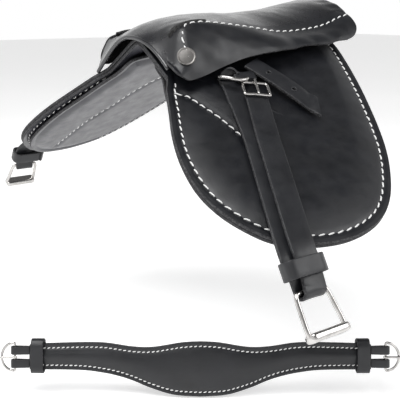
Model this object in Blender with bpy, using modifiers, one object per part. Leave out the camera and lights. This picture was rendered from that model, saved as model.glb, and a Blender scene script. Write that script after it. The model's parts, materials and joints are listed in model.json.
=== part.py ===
"""Toy-size English riding saddle in black leather, with its stirrups and its girth.

+X is the pommel (front), +Y the rider's left and +Z up. The origin is the middle of the flat underside
of the tree, in the channel between the two panels, which lies on a horse's back or on a rack.
All the dimensions below are in millimetres, and MM turns them into Blender's metres.
"""

from math import cos, pi, radians, sin

import bmesh
import bpy
from mathutils import Matrix, Vector

MM = 0.001
GAP = 0.3  # clearance between pieces that touch

# The two sloping sides of the saddle meet in a ridge, like a tent
RIDGE = Vector((75.0, 0.0, 8.0))
RIDGE_PITCH = radians(9.2)
SIDE_SLOPE = radians(30.87)
BULGE = 2.0
BULGE_CENTRE = 132.0
BULGE_HALF = 88.0
ARCH_TOP = 7.5
ARCH_RADIUS = 178.0

# Leather
PLY = 2.4
THIN_PLY = 2.0
CROWN = 2.2
FOAM = 1.9
STRAP_WIDTH = 15.5
STRAP_PLY = 2.4

# Seat
SEAT_FRONT = 78.0
SEAT_REAR = -103.0
SEAT_HALF = 50.0
SEAT_ROUNDING = 7.0  # how far the rear edge curves forward at its ends
CANTLE_FOOT = 9.0
CANTLE_PLY = 1.6
CANTLE_LEAN = 2.0

# Metal
BAR_RADIUS = 1.5
FRAME_RADIUS = 1.1
PRONG_RADIUS = 0.75

# Places in a side's own coordinates: along the ridge, down the slope, out of the slope
FLAP_HINGE = (-66.0, 56.0, 9.2)
BAR = (-36.0, 76.5, 9.2)
BAR_HALF = 13.3

# Lower end of the left stirrup leather, and the iron that hangs from it
KEEPER_CENTRE = Vector((83.8, 192.0, -107.0))
FOLD_CENTRE = Vector((84.2, 198.6, -118.2))
IRON_DOWN = Vector((0.0, 0.61, -0.79)).normalized()
IRON_LENGTH = 24.5
TREAD = (30.0, 9.0, 5.0)

# Girth, standing below the saddle in its own upright frame
GIRTH_CENTRE = Vector((59.0, 62.0, -228.0))
GIRTH_ALONG = Vector((-0.809, 0.588, 0.0)).normalized()
GIRTH_FACE_TILT = radians(15.3)
GIRTH_HALF = 129.0

SIDES = (("L", 1), ("R", -1))

COLOURS = {
    "leather": ((0.012, 0.013, 0.018), 0.42, 0.0),
    "lining": ((0.020, 0.021, 0.026), 0.35, 0.0),
    "foam": ((0.30, 0.28, 0.24), 0.95, 0.0),
    "board": ((0.25, 0.17, 0.10), 0.70, 0.0),
    "steel": ((0.62, 0.62, 0.64), 0.22, 1.0),
}


# ---------------------------------------------------------------- scene and materials

def clear_scene():
    for item in list(bpy.data.objects):
        bpy.data.objects.remove(item, do_unlink=True)


def make_collection(name):
    collection = bpy.data.collections.new(name)
    bpy.context.scene.collection.children.link(collection)
    return collection


def make_material(name, finish):
    colour, roughness, metallic = COLOURS[finish]
    material = bpy.data.materials.new(name)
    material.use_nodes = True
    shader = material.node_tree.nodes["Principled BSDF"]
    shader.inputs["Base Color"].default_value = (*colour, 1.0)
    shader.inputs["Roughness"].default_value = roughness
    shader.inputs["Metallic"].default_value = metallic
    return material


clear_scene()
PARTS = make_collection("toy_saddle")


def add_object(name, mesh, finish, origin=Vector()):
    """Link a mesh, whose points are relative to origin (mm), as a named part."""
    item = bpy.data.objects.new(name, mesh)
    item.location = origin * MM
    mesh.materials.append(make_material(name, finish))
    PARTS.objects.link(item)
    return item


def mesh_from(name, points, faces, origin):
    mesh = bpy.data.meshes.new(name)
    mesh.from_pydata([(point - origin) * MM for point in points], [], faces)
    mesh.update()
    return mesh


def closed_part(name, points, faces, finish, origin=Vector()):
    """A solid given by all its faces, with the faces turned to point out."""
    mesh = mesh_from(name, points, faces, origin)
    work = bmesh.new()
    work.from_mesh(mesh)
    bmesh.ops.recalc_face_normals(work, faces=work.faces)
    work.to_mesh(mesh)
    work.free()
    return add_object(name, mesh, finish, origin)


def sheet_part(name, points, faces, outward, thickness, finish, origin=Vector()):
    """A leather sheet: its outer surface, thickened to the inner side by Solidify."""
    mesh = mesh_from(name, points, faces, origin)
    middle = mesh.polygons[len(mesh.polygons) // 2]
    if middle.normal.dot(outward) < 0:
        mesh.flip_normals()
    item = add_object(name, mesh, finish, origin)
    shell = item.modifiers.new("ply", "SOLIDIFY")
    shell.thickness = thickness * MM
    shell.offset = -1.0
    shell.use_even_offset = False
    return item


# ---------------------------------------------------------------- the sides of the saddle

def side_axes(side):
    """Unit vectors of a side: along the ridge, down the slope and out of the slope."""
    along = Vector((cos(RIDGE_PITCH), 0.0, -sin(RIDGE_PITCH)))
    up = Vector((sin(RIDGE_PITCH), 0.0, cos(RIDGE_PITCH)))
    across = Vector((0.0, side, 0.0))
    down = across * cos(SIDE_SLOPE) - up * sin(SIDE_SLOPE)
    out = across * sin(SIDE_SLOPE) + up * cos(SIDE_SLOPE)
    return along, down, out


def side_point(x, s, h, side):
    """A point x along the ridge, s down the slope and h out of the slightly bulged side."""
    along, down, out = side_axes(side)
    bulge = BULGE * max(0.0, 1.0 - ((s - BULGE_CENTRE) / BULGE_HALF) ** 2)
    return RIDGE + along * x + down * s + out * (h + bulge)


def mirrored(point, side):
    return Vector((point.x, point.y * side, point.z))


def spline(points, steps):
    """Catmull-Rom curve through the points, with the ends kept."""
    padded = [points[0], *points, points[-1]]
    curve = []
    for i in range(len(points) - 1):
        p0, p1, p2, p3 = padded[i:i + 4]
        for k in range(steps):
            t = k / steps
            blend = (p1 * 2.0 + (p2 - p0) * t + (p0 * 2.0 - p1 * 5.0 + p2 * 4.0 - p3) * t ** 2
                     + (p1 * 3.0 - p0 - p2 * 3.0 + p3) * t ** 3)
            curve.append(blend * 0.5)
    curve.append(points[-1].copy())
    return curve


def flat(pairs):
    return [Vector((x, s, 0.0)) for x, s in pairs]


FLAP_EDGE = flat([(5, 54), (11, 62), (22, 82), (33, 102), (42, 124), (47, 148), (45, 169), (37, 188), (27, 201),
                  (11, 211), (-12, 218), (-35, 218), (-55, 211), (-75, 195), (-97, 168), (-122, 124),
                  (-140, 86), (-150, 54)])
PANEL_EDGE = flat([(-6, 22), (-1, 40), (8, 58), (18, 80), (29, 101), (37, 123), (42, 147), (40, 168), (32, 186),
                   (22, 197), (8, 205), (-13, 211), (-36, 211), (-53, 205), (-73, 189), (-95, 162),
                   (-117, 124), (-134, 88), (-144, 50)])
MAIN_FOAM_EDGE = flat([(-18, 74), (-24, 100), (-16, 134), (-2, 160), (16, 184), (8, 196), (-14, 204),
                       (-44, 199), (-68, 182), (-90, 154), (-109, 124), (-122, 92), (-128, 74)])
KNEE_FOAM_EDGE = flat([(3, 80), (14, 98), (24, 118), (31, 142), (31, 166), (22, 174), (8, 154),
                       (-6, 128), (-12, 104), (-8, 86)])
TOP_EDGE_POINTS = 6


def closed_outline(edge, steps):
    """The curved free edge, closed by a straight top edge."""
    curve = spline(edge, steps)
    first, last = curve[0], curve[-1]
    top = [last.lerp(first, k / TOP_EDGE_POINTS) for k in range(1, TOP_EDGE_POINTS)]
    return curve + top


def ring_sheet(name, edge, steps, insets, fills, raised, base, thickness, side, finish, origin):
    """A sheet laid on the side: rings inset from the outline, then filled to its middle."""
    outline = closed_outline(edge, steps)
    count = len(outline)
    middle = sum(outline, Vector()) / count
    rings = []
    for inset, height in insets:
        rings.append([(p + (middle - p).normalized() * inset, base + height) for p in outline])
    deepest = insets[-1][0]
    for fill in fills:
        ring = []
        for p in outline:
            start = p + (middle - p).normalized() * deepest
            ring.append((start.lerp(middle, fill), base + raised))
        rings.append(ring)
    points = [side_point(p.x, p.y, h, side) for ring in rings for p, h in ring]
    points.append(side_point(middle.x, middle.y, base + raised, side))
    faces = []
    for r in range(len(rings) - 1):
        for i in range(count):
            j = (i + 1) % count
            faces.append((r * count + i, r * count + j, (r + 1) * count + j, (r + 1) * count + i))
    last = (len(rings) - 1) * count
    for i in range(count):
        faces.append((last + i, last + (i + 1) % count, len(points) - 1))
    outward = side_axes(side)[2]
    return sheet_part(name, points, faces, outward, thickness, finish, origin)


def grid_faces(columns, rows):
    faces = []
    for i in range(columns):
        for j in range(rows):
            a = i * (rows + 1) + j
            faces.append((a, a + rows + 1, a + rows + 2, a + 1))
    return faces


def grid_sheet(name, surface, columns, rows, outward, thickness, finish, origin=Vector()):
    """A sheet whose outer surface is surface(u, v) for u and v from 0 to 1."""
    points = [surface(i / columns, j / rows) for i in range(columns + 1) for j in range(rows + 1)]
    return sheet_part(name, points, grid_faces(columns, rows), outward, thickness, finish, origin)


def slab(name, plan, top, bottom, columns, rows, finish):
    """A solid between the heights top(x, y) and bottom(x, y) over plan(u, v)."""
    places = [plan(i / columns, j / rows) for i in range(columns + 1) for j in range(rows + 1)]
    upper = [Vector((x, y, top(x, y))) for x, y in places]
    lower = [Vector((x, y, bottom(x, y))) for x, y in places]
    shift = len(places)
    faces = grid_faces(columns, rows)
    faces += [tuple(k + shift for k in reversed(face)) for face in faces]
    rim = [j for j in range(rows + 1)]
    rim += [i * (rows + 1) + rows for i in range(1, columns + 1)]
    rim += [columns * (rows + 1) + j for j in range(rows - 1, -1, -1)]
    rim += [i * (rows + 1) for i in range(columns - 1, 0, -1)]
    for k, a in enumerate(rim):
        b = rim[(k + 1) % len(rim)]
        faces.append((a, b, b + shift, a + shift))
    return closed_part(name, upper + lower, faces, finish)


# ---------------------------------------------------------------- straps and wires

def ribbon(name, stations, width, thickness, finish, origin=Vector()):
    """A flat strap: a rectangle carried along stations of (centre, width direction)."""
    points = []
    last = len(stations) - 1
    for k, (centre, across) in enumerate(stations):
        ahead = stations[min(k + 1, last)][0]
        behind = stations[max(k - 1, 0)][0]
        tangent = (ahead - behind).normalized()
        normal = tangent.cross(across).normalized()
        half = across.normalized() * width / 2.0
        rise = normal * thickness / 2.0
        points += [centre + half + rise, centre - half + rise, centre - half - rise, centre + half - rise]
    faces = [(0, 1, 2, 3), tuple(last * 4 + i for i in range(4))]
    for k in range(last):
        for i in range(4):
            j = (i + 1) % 4
            faces.append((k * 4 + i, k * 4 + j, k * 4 + 4 + j, k * 4 + 4 + i))
    return closed_part(name, points, faces, finish, origin)


def wire(name, points, radius, closed, finish, origin=Vector()):
    """A round wire bent along the points, made a welded mesh."""
    curve = bpy.data.curves.new(name, "CURVE")
    curve.dimensions = "3D"
    curve.bevel_depth = radius * MM
    curve.bevel_resolution = 2
    curve.use_fill_caps = not closed
    line = curve.splines.new("POLY")
    line.points.add(len(points) - 1)
    for node, point in zip(line.points, points):
        node.co = (*((point - origin) * MM), 1.0)
    line.use_cyclic_u = closed
    guide = bpy.data.objects.new(name + "_path", curve)
    PARTS.objects.link(guide)
    bpy.context.view_layer.update()
    evaluated = guide.evaluated_get(bpy.context.evaluated_depsgraph_get())
    mesh = bpy.data.meshes.new_from_object(evaluated)
    work = bmesh.new()
    work.from_mesh(mesh)
    bmesh.ops.remove_doubles(work, verts=work.verts, dist=0.00001)
    bmesh.ops.recalc_face_normals(work, faces=work.faces)
    work.to_mesh(mesh)
    work.free()
    bpy.data.objects.remove(guide, do_unlink=True)
    mesh.materials.clear()
    mesh.shade_smooth()
    mesh.set_sharp_from_angle(angle=radians(40))
    return add_object(name, mesh, finish, origin)


def cylinder(name, centre, axis, radius, height, finish, origin, bevel=0.0):
    mesh = bpy.data.meshes.new(name)
    work = bmesh.new()
    turn = axis.to_track_quat("Z", "Y").to_matrix().to_4x4()
    place = Matrix.Translation((centre - origin) * MM) @ turn
    bmesh.ops.create_cone(work, cap_ends=True, segments=20, radius1=radius * MM, radius2=radius * MM,
                          depth=height * MM, matrix=place)
    work.to_mesh(mesh)
    work.free()
    item = add_object(name, mesh, finish, origin)
    if bevel:
        rounding = item.modifiers.new("edge", "BEVEL")
        rounding.width = bevel * MM
        rounding.segments = 2
        rounding.limit_method = "ANGLE"
    return item


# ---------------------------------------------------------------- heights under and over the seat

def smooth_min(a, b, softness=4.0):
    blend = max(0.0, min(1.0, 0.5 + 0.5 * (b - a) / softness))
    return b * (1.0 - blend) + a * blend - softness * blend * (1.0 - blend)


def ramp(value, table):
    """Straight-line reading of a table of (position, height) pairs."""
    if value <= table[0][0]:
        return table[0][1]
    for (x0, z0), (x1, z1) in zip(table, table[1:]):
        if value <= x1:
            return z0 + (z1 - z0) * (value - x0) / (x1 - x0)
    return table[-1][1]


def side_height(x, y):
    """Height of the middle layer of the sides at plan position x, y, rounded over the ridge."""
    out = side_axes(1)[2]
    plane = RIDGE.z - (out.x * (x - RIDGE.x) + out.y * abs(y)) / out.z
    arch = ARCH_TOP - y * y / (2.0 * ARCH_RADIUS)
    return smooth_min(plane, arch)


CROWN_LINE = ((-103, 38.0), (-95, 37.0), (-75, 33.5), (-45, 28.5), (-15, 26.0), (15, 26.0), (40, 24.3),
              (55, 21.5), (67, 17.0), (78, 11.0))
SEAM_LINE = ((-103, 24.0), (-90, 22.0), (-70, 15.5), (-49, 12.5), (-23, 11.5), (0, 14.5), (25, 17.5),
             (50, 19.5), (64, 17.0), (69, 12.5), (74, 2.0), (78, -9.0))
PADDING_FRONT = 60.0
PADDING_REAR = -98.0
PADDING_HALF = 42.0
PADDING_ROUNDING = 5.0
TREE_FRONT = 56.0
TREE_REAR = -88.0
TREE_HALF = 36.0
TREE_ROUNDING = 10.0
POMMEL_FRONT = 70.5
POMMEL_HALF = 43.0
TREE_THICKNESS = 6.0
KEEL_HALF = 9.0


def seat_top(x, y):
    crown = ramp(x, CROWN_LINE)
    seam = ramp(x, SEAM_LINE)
    return crown - (crown - seam) * (abs(y) / SEAT_HALF) ** 2.2


def round_rear(y, rear, half, depth):
    """Rear edge of a plan that is rounded like a cantle."""
    return rear + depth * (abs(y) / half) ** 3


def tree_plan(u, v):
    y = TREE_HALF * (2.0 * v - 1.0)
    rear = round_rear(y, TREE_REAR, TREE_HALF, TREE_ROUNDING)
    return TREE_FRONT + (rear - TREE_FRONT) * u, y


def tree_top(x, y):
    return side_height(x, y) + TREE_THICKNESS


def tree_bottom(x, y):
    if abs(y) <= KEEL_HALF + 0.01:
        return 0.0
    return side_height(x, y) + GAP


def padding_plan(u, v):
    y = PADDING_HALF * (2.0 * v - 1.0)
    rear = round_rear(y, PADDING_REAR, PADDING_HALF, PADDING_ROUNDING)
    return PADDING_FRONT + (rear - PADDING_FRONT) * u, y


def padding_top(x, y):
    return seat_top(x, y) - THIN_PLY - 2.0 * GAP


def padding_bottom(x, y):
    return min(tree_top(x, y) + 3.0 * GAP, padding_top(x, y) - 2.0 * GAP)


def make_seat():
    slab("tree", tree_plan, tree_top, tree_bottom, 8, 8, "board")
    slab("seat_padding", padding_plan, padding_top, padding_bottom, 20, 12, "foam")

    def cover(u, v):
        y = SEAT_HALF * (2.0 * v - 1.0)
        rear = round_rear(y, SEAT_REAR, SEAT_HALF, SEAT_ROUNDING)
        x = SEAT_FRONT + (rear - SEAT_FRONT) * u
        return Vector((x, y, seat_top(x, y)))

    grid_sheet("seat_cover", cover, 32, 16, Vector((0, 0, 1)), THIN_PLY, "leather")

    def cantle(u, v):
        y = (SEAT_HALF - 4.0) * (2.0 * u - 1.0)
        x = round_rear(y, SEAT_REAR, SEAT_HALF, SEAT_ROUNDING) + 1.0
        high = seat_top(x, y) - THIN_PLY - 5.0 * GAP
        return Vector((x + CANTLE_LEAN * v, y, high + (CANTLE_FOOT - high) * v))

    grid_sheet("cantle_panel", cantle, 16, 2, Vector((-1, 0, 0)), CANTLE_PLY, "leather")


def make_pommel():
    """The two plies of the sides where they meet over the ridge, in front of the tree."""
    for name, height, finish in (("pommel_facing", 3.0, "leather"), ("pommel_backing", -0.4, "lining")):

        def surface(u, v):
            x = TREE_FRONT + 3.0 * GAP + (POMMEL_FRONT - TREE_FRONT) * u
            y = POMMEL_HALF * (2.0 * v - 1.0)
            return Vector((x, y, side_height(x, y) + height))

        grid_sheet(name, surface, 3, 24, Vector((0, 0, 1)), PLY, finish)


SKIRT_TOP = 51.5
SKIRT_EDGE = ((-84, 65.0, 8.0), (-72, 67.0, 7.0), (-31, 69.0, 3.0), (-3, 69.0, 1.5), (29, 68.0, -3.0), (50, 68.0, -8.0),
              (79, 69.0, -13.0))
SKIRT_FRONT = 70.0
SKIRT_REAR = -84.0
SKIRT_AXIS_HEIGHT = 18.5


def skirt_low(x):
    y = ramp(x, [(row[0], row[1]) for row in SKIRT_EDGE])
    z = ramp(x, [(row[0], row[2]) for row in SKIRT_EDGE])
    return y, z


def make_skirt(name, side):
    hinge = Vector((0.0, (SKIRT_TOP + 0.5) * side, SKIRT_AXIS_HEIGHT))

    def surface(u, v):
        x = SKIRT_FRONT + (SKIRT_REAR - SKIRT_FRONT) * u
        high = min(ramp(x, SEAM_LINE), SKIRT_AXIS_HEIGHT - 1.0) - 0.5
        lean = 9.0 * (1.0 - u) ** 4 * v
        low_y, low_z = skirt_low(x + lean)
        y = SKIRT_TOP + (low_y - SKIRT_TOP) * v + 2.0 * sin(pi * v)
        return mirrored(Vector((x + lean, y, high + (low_z - high) * v)), side)

    outward = Vector((0.0, side, 0.5))
    grid_sheet("skirt_" + name, surface, 20, 5, outward, THIN_PLY, "leather", hinge)
    centre = surface(0.05, 0.55)
    across = surface(0.10, 0.55) - surface(0.0, 0.55)
    down = surface(0.05, 0.70) - surface(0.05, 0.40)
    normal = across.cross(down).normalized()
    if normal.dot(outward) < 0:
        normal.negate()
    cylinder("skirt_rivet_" + name, centre + normal * (0.9 + GAP), normal, 6.0, 1.6, "steel", hinge, 0.5)


# ---------------------------------------------------------------- flaps, panels and what lies between

def make_side(name, side):
    along = side_axes(side)[0]
    hinge = side_point(*FLAP_HINGE, side)
    crown = [(0.0, 0.0), (6.0, 0.0), (11.0, CROWN)]
    ring_sheet("flap_" + name, FLAP_EDGE, 3, crown, (0.35, 0.70), CROWN, PLY, PLY, side, "leather", hinge)
    ring_sheet("flap_backing_" + name, FLAP_EDGE, 3, [(0.0, 0.0)], (0.4, 0.75), 0.0, -GAP, PLY, side,
               "lining", hinge)
    ring_sheet("flap_padding_" + name, MAIN_FOAM_EDGE, 2, [(0.0, 0.0)], (0.5,), 0.0, FOAM, FOAM, side,
               "foam", hinge)
    ring_sheet("knee_roll_" + name, KNEE_FOAM_EDGE, 2, [(0.0, 0.0)], (0.5,), 0.0, FOAM, FOAM, side,
               "foam", hinge)
    ring_sheet("panel_" + name, PANEL_EDGE, 3, [(0.0, 0.0)], (0.4, 0.75), 0.0, -5.4, PLY, side,
               "lining", Vector())

    billet_x = -44.0
    stations = []
    for k in range(8):
        s = 44.0 + 18.0 * k
        stations.append((side_point(billet_x, s, -4.05, side), along))
    ribbon("billet_" + name, stations, 14.0, 1.8, "leather")


# ---------------------------------------------------------------- stirrup leathers and irons

STRAP_MIDDLE = 1.6
STRAP_AROUND = BAR_RADIUS + GAP + STRAP_PLY / 2.0
STRAP_ROUTE = (BAR, (-29.9, 96.7, 8.0), (-11.5, 135.5, 8.0), (24.0, 207.5, 7.8))
STRAP_SPREAD = (4.5, 6.0, 3.6, 3.4, 3.8, 0.8)  # each run lies this far to one side, at each guide
STRAP_STEPS = 5
FRONT_START = 5
TAIL_START = (-53.5, 69.0)
TAIL_HEADING = Vector((-0.28, 0.96, 0.0)).normalized()
TAIL_WIDTH = 15.0
TAIL_PLY = 2.2
TAIL_HEIGHT = 12.6
TAIL_SAG = 0.10
TAIL_STEP = 7.4
HEEL_BAR = (-34.7, 100.5)
BUCKLE_HEADING = Vector((-0.46, -0.888, 0.0)).normalized()
BUCKLE_HEIGHT = 13.2
BUCKLE_HALF = 9.6
BUCKLE_LENGTH = 12.5


def strap_guides(side):
    guides = [side_point(*point, side) for point in STRAP_ROUTE]
    return guides + [mirrored(KEEPER_CENTRE, side), mirrored(FOLD_CENTRE, side)]


def strap_frames(side):
    """Frames down the folded strap: place, width direction, tangent, normal, rise and spread of its runs."""
    out = side_axes(side)[2]
    guides = strap_guides(side)
    line = spline(guides, STRAP_STEPS)
    heading = (guides[2] - guides[0]).normalized()
    across_top = heading.cross(out).normalized()
    if across_top.x < 0:
        across_top.negate()
    across_low = Vector((1.0, 0.0, 0.0))
    last = len(line) - 1
    frames = []
    for k, point in enumerate(line):
        twist = max(0.0, min(1.0, (k / last - 0.5) / 0.3))
        across = across_top.lerp(across_low, twist).normalized()
        tangent = (line[min(k + 1, last)] - line[max(k - 1, 0)]).normalized()
        normal = tangent.cross(across).normalized()
        if normal.dot(out) < 0:
            normal.negate()
        ends = max(0.0, 1.0 - k / 3.0, 1.0 - (last - k) / 4.0)
        rise = STRAP_MIDDLE + (STRAP_AROUND - STRAP_MIDDLE) * ends
        guide, part = min(k // STRAP_STEPS, len(guides) - 2), k / STRAP_STEPS
        spread = STRAP_SPREAD[guide] + (STRAP_SPREAD[guide + 1] - STRAP_SPREAD[guide]) * (part - guide)
        frames.append((point, across, tangent, normal, rise, spread))
    return frames


def on_side(start, heading, t, b, h, side):
    """A point t along a heading laid flat on a side, b to its right and h out of the side."""
    x = start[0] + heading.x * t + heading.y * b
    s = start[1] + heading.y * t - heading.x * b
    along, down, out = side_axes(side)
    return RIDGE + along * x + down * s + out * (h + 1.0)


def strap_parts(name, side):
    pivot = side_point(*BAR, side)
    frames = strap_frames(side)
    front = [(p + n * rise - w * spread, w) for p, w, t, n, rise, spread in frames[FRONT_START:]]
    back = [(p - n * rise + w * spread, w) for p, w, t, n, rise, spread in reversed(frames)]
    low, low_across, low_down, low_out, _, low_spread = frames[-1]
    fold = []
    for k in range(1, 6):
        angle = pi * k / 6.0
        reach = low_out * cos(angle) + low_down * sin(angle)
        fold.append((low + reach * STRAP_AROUND - low_across * low_spread * cos(angle), low_across))
    high, bar_across, ahead, outward, _, bar_spread = frames[0]
    loop = []
    for k in range(1, 7):
        angle = pi * k / 6.0
        reach = outward * cos(angle) + ahead * sin(angle)
        loop.append((high - reach * STRAP_AROUND + bar_across * bar_spread * cos(angle), bar_across))
    loop.append((loop[-1][0] + ahead * 6.0, bar_across))
    ribbon("stirrup_leather_" + name, front + fold + back + loop, STRAP_WIDTH, STRAP_PLY, "leather", pivot)
    bar = [high + bar_across * reach for reach in (-BAR_HALF, 0.0, BAR_HALF)]
    wire("stirrup_bar_" + name, bar, BAR_RADIUS, False, "steel", pivot)

    tail = []
    tail_across = on_side((0, 0), TAIL_HEADING, 0, 1, 0, side) - on_side((0, 0), TAIL_HEADING, 0, 0, 0, side)
    for k in range(9):
        height = TAIL_HEIGHT - TAIL_SAG * max(0, k - 2) ** 2
        tail.append((on_side(TAIL_START, TAIL_HEADING, TAIL_STEP * k, 0.0, height, side), tail_across))
    ribbon("strap_tail_" + name, tail, TAIL_WIDTH, TAIL_PLY, "leather", pivot)
    make_strap_buckle(name, side, pivot)

    keeper_frame = frames[(len(STRAP_SPREAD) - 2) * STRAP_STEPS]
    inner = (12.8, STRAP_MIDDLE + STRAP_PLY / 2.0 + 2.3)
    make_keeper("stirrup_keeper_" + name, keeper_frame[:4], inner, 1.6, 9.5)
    make_iron("stirrup_iron_" + name, low, Vector((IRON_DOWN.x, IRON_DOWN.y * side, IRON_DOWN.z)))


def make_strap_buckle(name, side, pivot):
    half, inset, length = BUCKLE_HALF, 1.4, BUCKLE_LENGTH
    corners = [(0.0, inset - half), (0.0, half - inset), (inset, half), (length - inset, half),
               (length, half - inset), (length, inset - half), (length - inset, -half), (inset, -half)]
    frame = [on_side(HEEL_BAR, BUCKLE_HEADING, t, b, BUCKLE_HEIGHT, side) for t, b in corners]
    wire("strap_buckle_" + name, frame, FRAME_RADIUS, True, "steel", pivot)
    hinge = on_side(HEEL_BAR, BUCKLE_HEADING, 0.0, 0.0, BUCKLE_HEIGHT, side)
    clear = BUCKLE_HEIGHT + FRAME_RADIUS + PRONG_RADIUS + GAP
    prong = [on_side(HEEL_BAR, BUCKLE_HEADING, t, 0.0, clear, side) for t in (-1.0, 7.0, length + 2.0)]
    wire("strap_prong_" + name, prong, PRONG_RADIUS, False, "steel", hinge)


def make_keeper(name, frame, inner, wall, length):
    """A leather loop round both runs of a strap. inner is half its opening, across and through."""
    centre, across, tangent, normal = frame
    points = []
    for end in (-0.5, 0.5):
        for outer in (0.0, wall):
            for a, b in ((-1, -1), (1, -1), (1, 1), (-1, 1)):
                points.append(centre + tangent * length * end + across * a * (inner[0] + outer)
                              + normal * b * (inner[1] + outer))
    faces = []
    for i in range(4):
        j = (i + 1) % 4
        faces.append((i, j, j + 4, i + 4))
        faces.append((8 + i, 8 + j, 12 + j, 12 + i))
        faces.append((i, j, 8 + j, 8 + i))
        faces.append((4 + i, 4 + j, 12 + j, 12 + i))
    closed_part(name, points, faces, "leather", centre)


IRON_LOOP = ((-9.6, 0.0), (9.6, 0.0), (11.4, 1.8), (12.2, 6.0), (12.8, 13.0), (13.4, 20.0), (12.6, 23.6),
             (11.0, IRON_LENGTH), (-11.0, IRON_LENGTH), (-12.6, 23.6), (-13.4, 20.0), (-12.8, 13.0),
             (-12.2, 6.0), (-11.4, 1.8))


def make_iron(name, top, down):
    """A stirrup iron: a bent wire loop that carries a thick tread."""
    across = Vector((1.0, 0.0, 0.0))
    points = [top + across * a + down * d for a, d in IRON_LOOP]
    body = wire(name, points, BAR_RADIUS, True, "steel", top)
    tread = bpy.data.meshes.new(name + "_tread")
    work = bmesh.new()
    turn = Matrix((across, down.cross(across), down)).transposed().to_4x4()
    size = Matrix.Diagonal((*(side * MM for side in TREAD), 1.0))
    bmesh.ops.create_cube(work, size=1.0, matrix=Matrix.Translation(down * IRON_LENGTH * MM) @ turn @ size)
    bmesh.ops.recalc_face_normals(work, faces=work.faces)
    work.to_mesh(tread)
    work.free()
    cutter = bpy.data.objects.new(name + "_tread", tread)
    cutter.location = top * MM
    cutter.display_type = "WIRE"
    cutter.hide_render = True
    CUTTERS.objects.link(cutter)
    joined = body.modifiers.new("tread", "BOOLEAN")
    joined.operation = "UNION"
    joined.object = cutter
    joined.solver = "EXACT"


# ---------------------------------------------------------------- girth

GIRTH_TOP = ((0, 14.4), (14, 13.6), (36, 10.2), (52, 10.6), (74, 13.6), (100, 13.6), (129, 12.6))
GIRTH_BOTTOM = ((0, -26.4), (20, -25.0), (38, -19.6), (50, -14.6), (61, -11.0), (74, -8.2), (92, -6.2),
                (129, -5.8))


def girth_axes():
    up = Vector((0.0, 0.0, 1.0))
    level = GIRTH_ALONG.cross(up)
    face = level * -cos(GIRTH_FACE_TILT) + up * sin(GIRTH_FACE_TILT)
    if face.y < 0:
        face = level * cos(GIRTH_FACE_TILT) + up * sin(GIRTH_FACE_TILT)
    upward = face.cross(GIRTH_ALONG)
    if upward.z < 0:
        upward.negate()
    return GIRTH_ALONG, upward, face


def girth_point(u, v, h):
    along, up, face = girth_axes()
    return GIRTH_CENTRE + along * u + up * v + face * h


def smooth_table(table, steps=4):
    return [(p.x, p.y) for p in spline([Vector((x, z, 0.0)) for x, z in table], steps)]


def girth_sheet(name, half, top, bottom, margin, crown, base, thickness, rows, finish):
    def surface(u, v):
        x = half * (2.0 * u - 1.0)
        high = ramp(abs(x), top) - margin
        low = ramp(abs(x), bottom) + margin
        y = low + (high - low) * v
        edge = min(high - y, y - low, half - abs(x))
        rise = crown * max(0.0, min(1.0, (edge - 5.0) / 4.0))
        return girth_point(x, y, base + rise)

    grid_sheet(name, surface, 36, rows, girth_axes()[2], thickness, finish, GIRTH_CENTRE)


def make_girth():
    top, bottom = smooth_table(GIRTH_TOP), smooth_table(GIRTH_BOTTOM)
    girth_sheet("girth_cover", GIRTH_HALF, top, bottom, 0.0, 1.8, 2.2, 2.0, 8, "leather")
    girth_sheet("girth_lining", GIRTH_HALF, top, bottom, 0.0, 0.0, -0.1, 1.8, 2, "lining")
    girth_sheet("girth_padding", 66.0, top, bottom, 9.5, 0.0, 1.3, 1.0, 2, "foam")
    for name, end in (("front", -1), ("rear", 1)):
        make_girth_end(name, end)


def make_girth_end(name, end):
    along, up, face = girth_axes()
    middle = 3.4
    root = GIRTH_HALF + GAP
    tip = GIRTH_HALF + 12.5
    hinge = girth_point(end * (tip - 1.0), middle, 1.05)
    for label, v0 in (("upper", middle + 5.0), ("lower", middle - 5.0)):
        stations = []
        reach = ((root, 2.3), (root + 5.0, 2.9), (tip - 1.0, 3.4), (tip + 1.2, 2.6), (tip + 1.7, 1.05),
                 (tip + 1.2, -0.5), (tip - 1.0, -1.3), (root + 5.0, -0.8), (root, -0.2))
        for distance, h in reach:
            stations.append((girth_point(end * distance, v0, h), up))
        ribbon("girth_chape_%s_%s" % (name, label), stations, 6.0, 1.2, "leather", GIRTH_CENTRE)
    frame = [girth_point(end * (tip - 1.0), middle + v, 1.05) for v in (-9.5, 9.5)]
    for k in range(9):
        angle = pi / 2.0 - pi * k / 8.0
        frame.append(girth_point(end * (tip - 0.5 + 9.5 * cos(angle)), middle + 10.6 * sin(angle), 1.05))
    wire("girth_buckle_" + name, frame, 0.95, True, "steel", hinge)
    prong = [girth_point(end * (tip - 1.0 + d), middle, 2.9 + 0.02 * d) for d in (-1.6, 6.0, 13.0)]
    wire("girth_prong_" + name, prong, 0.75, False, "steel", hinge)
    centre = girth_point(end * (GIRTH_HALF - 6.0), middle, 1.15)
    make_keeper("girth_keeper_" + name, (centre, up, along, face), (10.8, 3.9), 1.5, 9.5)


CUTTERS = make_collection("toy_saddle_cutters")

make_seat()
make_pommel()
for label, direction in SIDES:
    make_skirt(label, direction)
    make_side(label, direction)
    strap_parts(label, direction)
make_girth()
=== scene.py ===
"""Looks of a toy-size English riding saddle in black leather, with its stirrups and its girth.

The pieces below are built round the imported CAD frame. Lengths are in millimetres and MM turns them into
Blender's metres. +X is the pommel, +Y the rider's left and +Z up.
"""

import json
from math import cos, pi, radians, sin

import bmesh
import bpy
import numpy as np
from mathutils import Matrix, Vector
from mathutils.bvhtree import BVHTree


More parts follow.
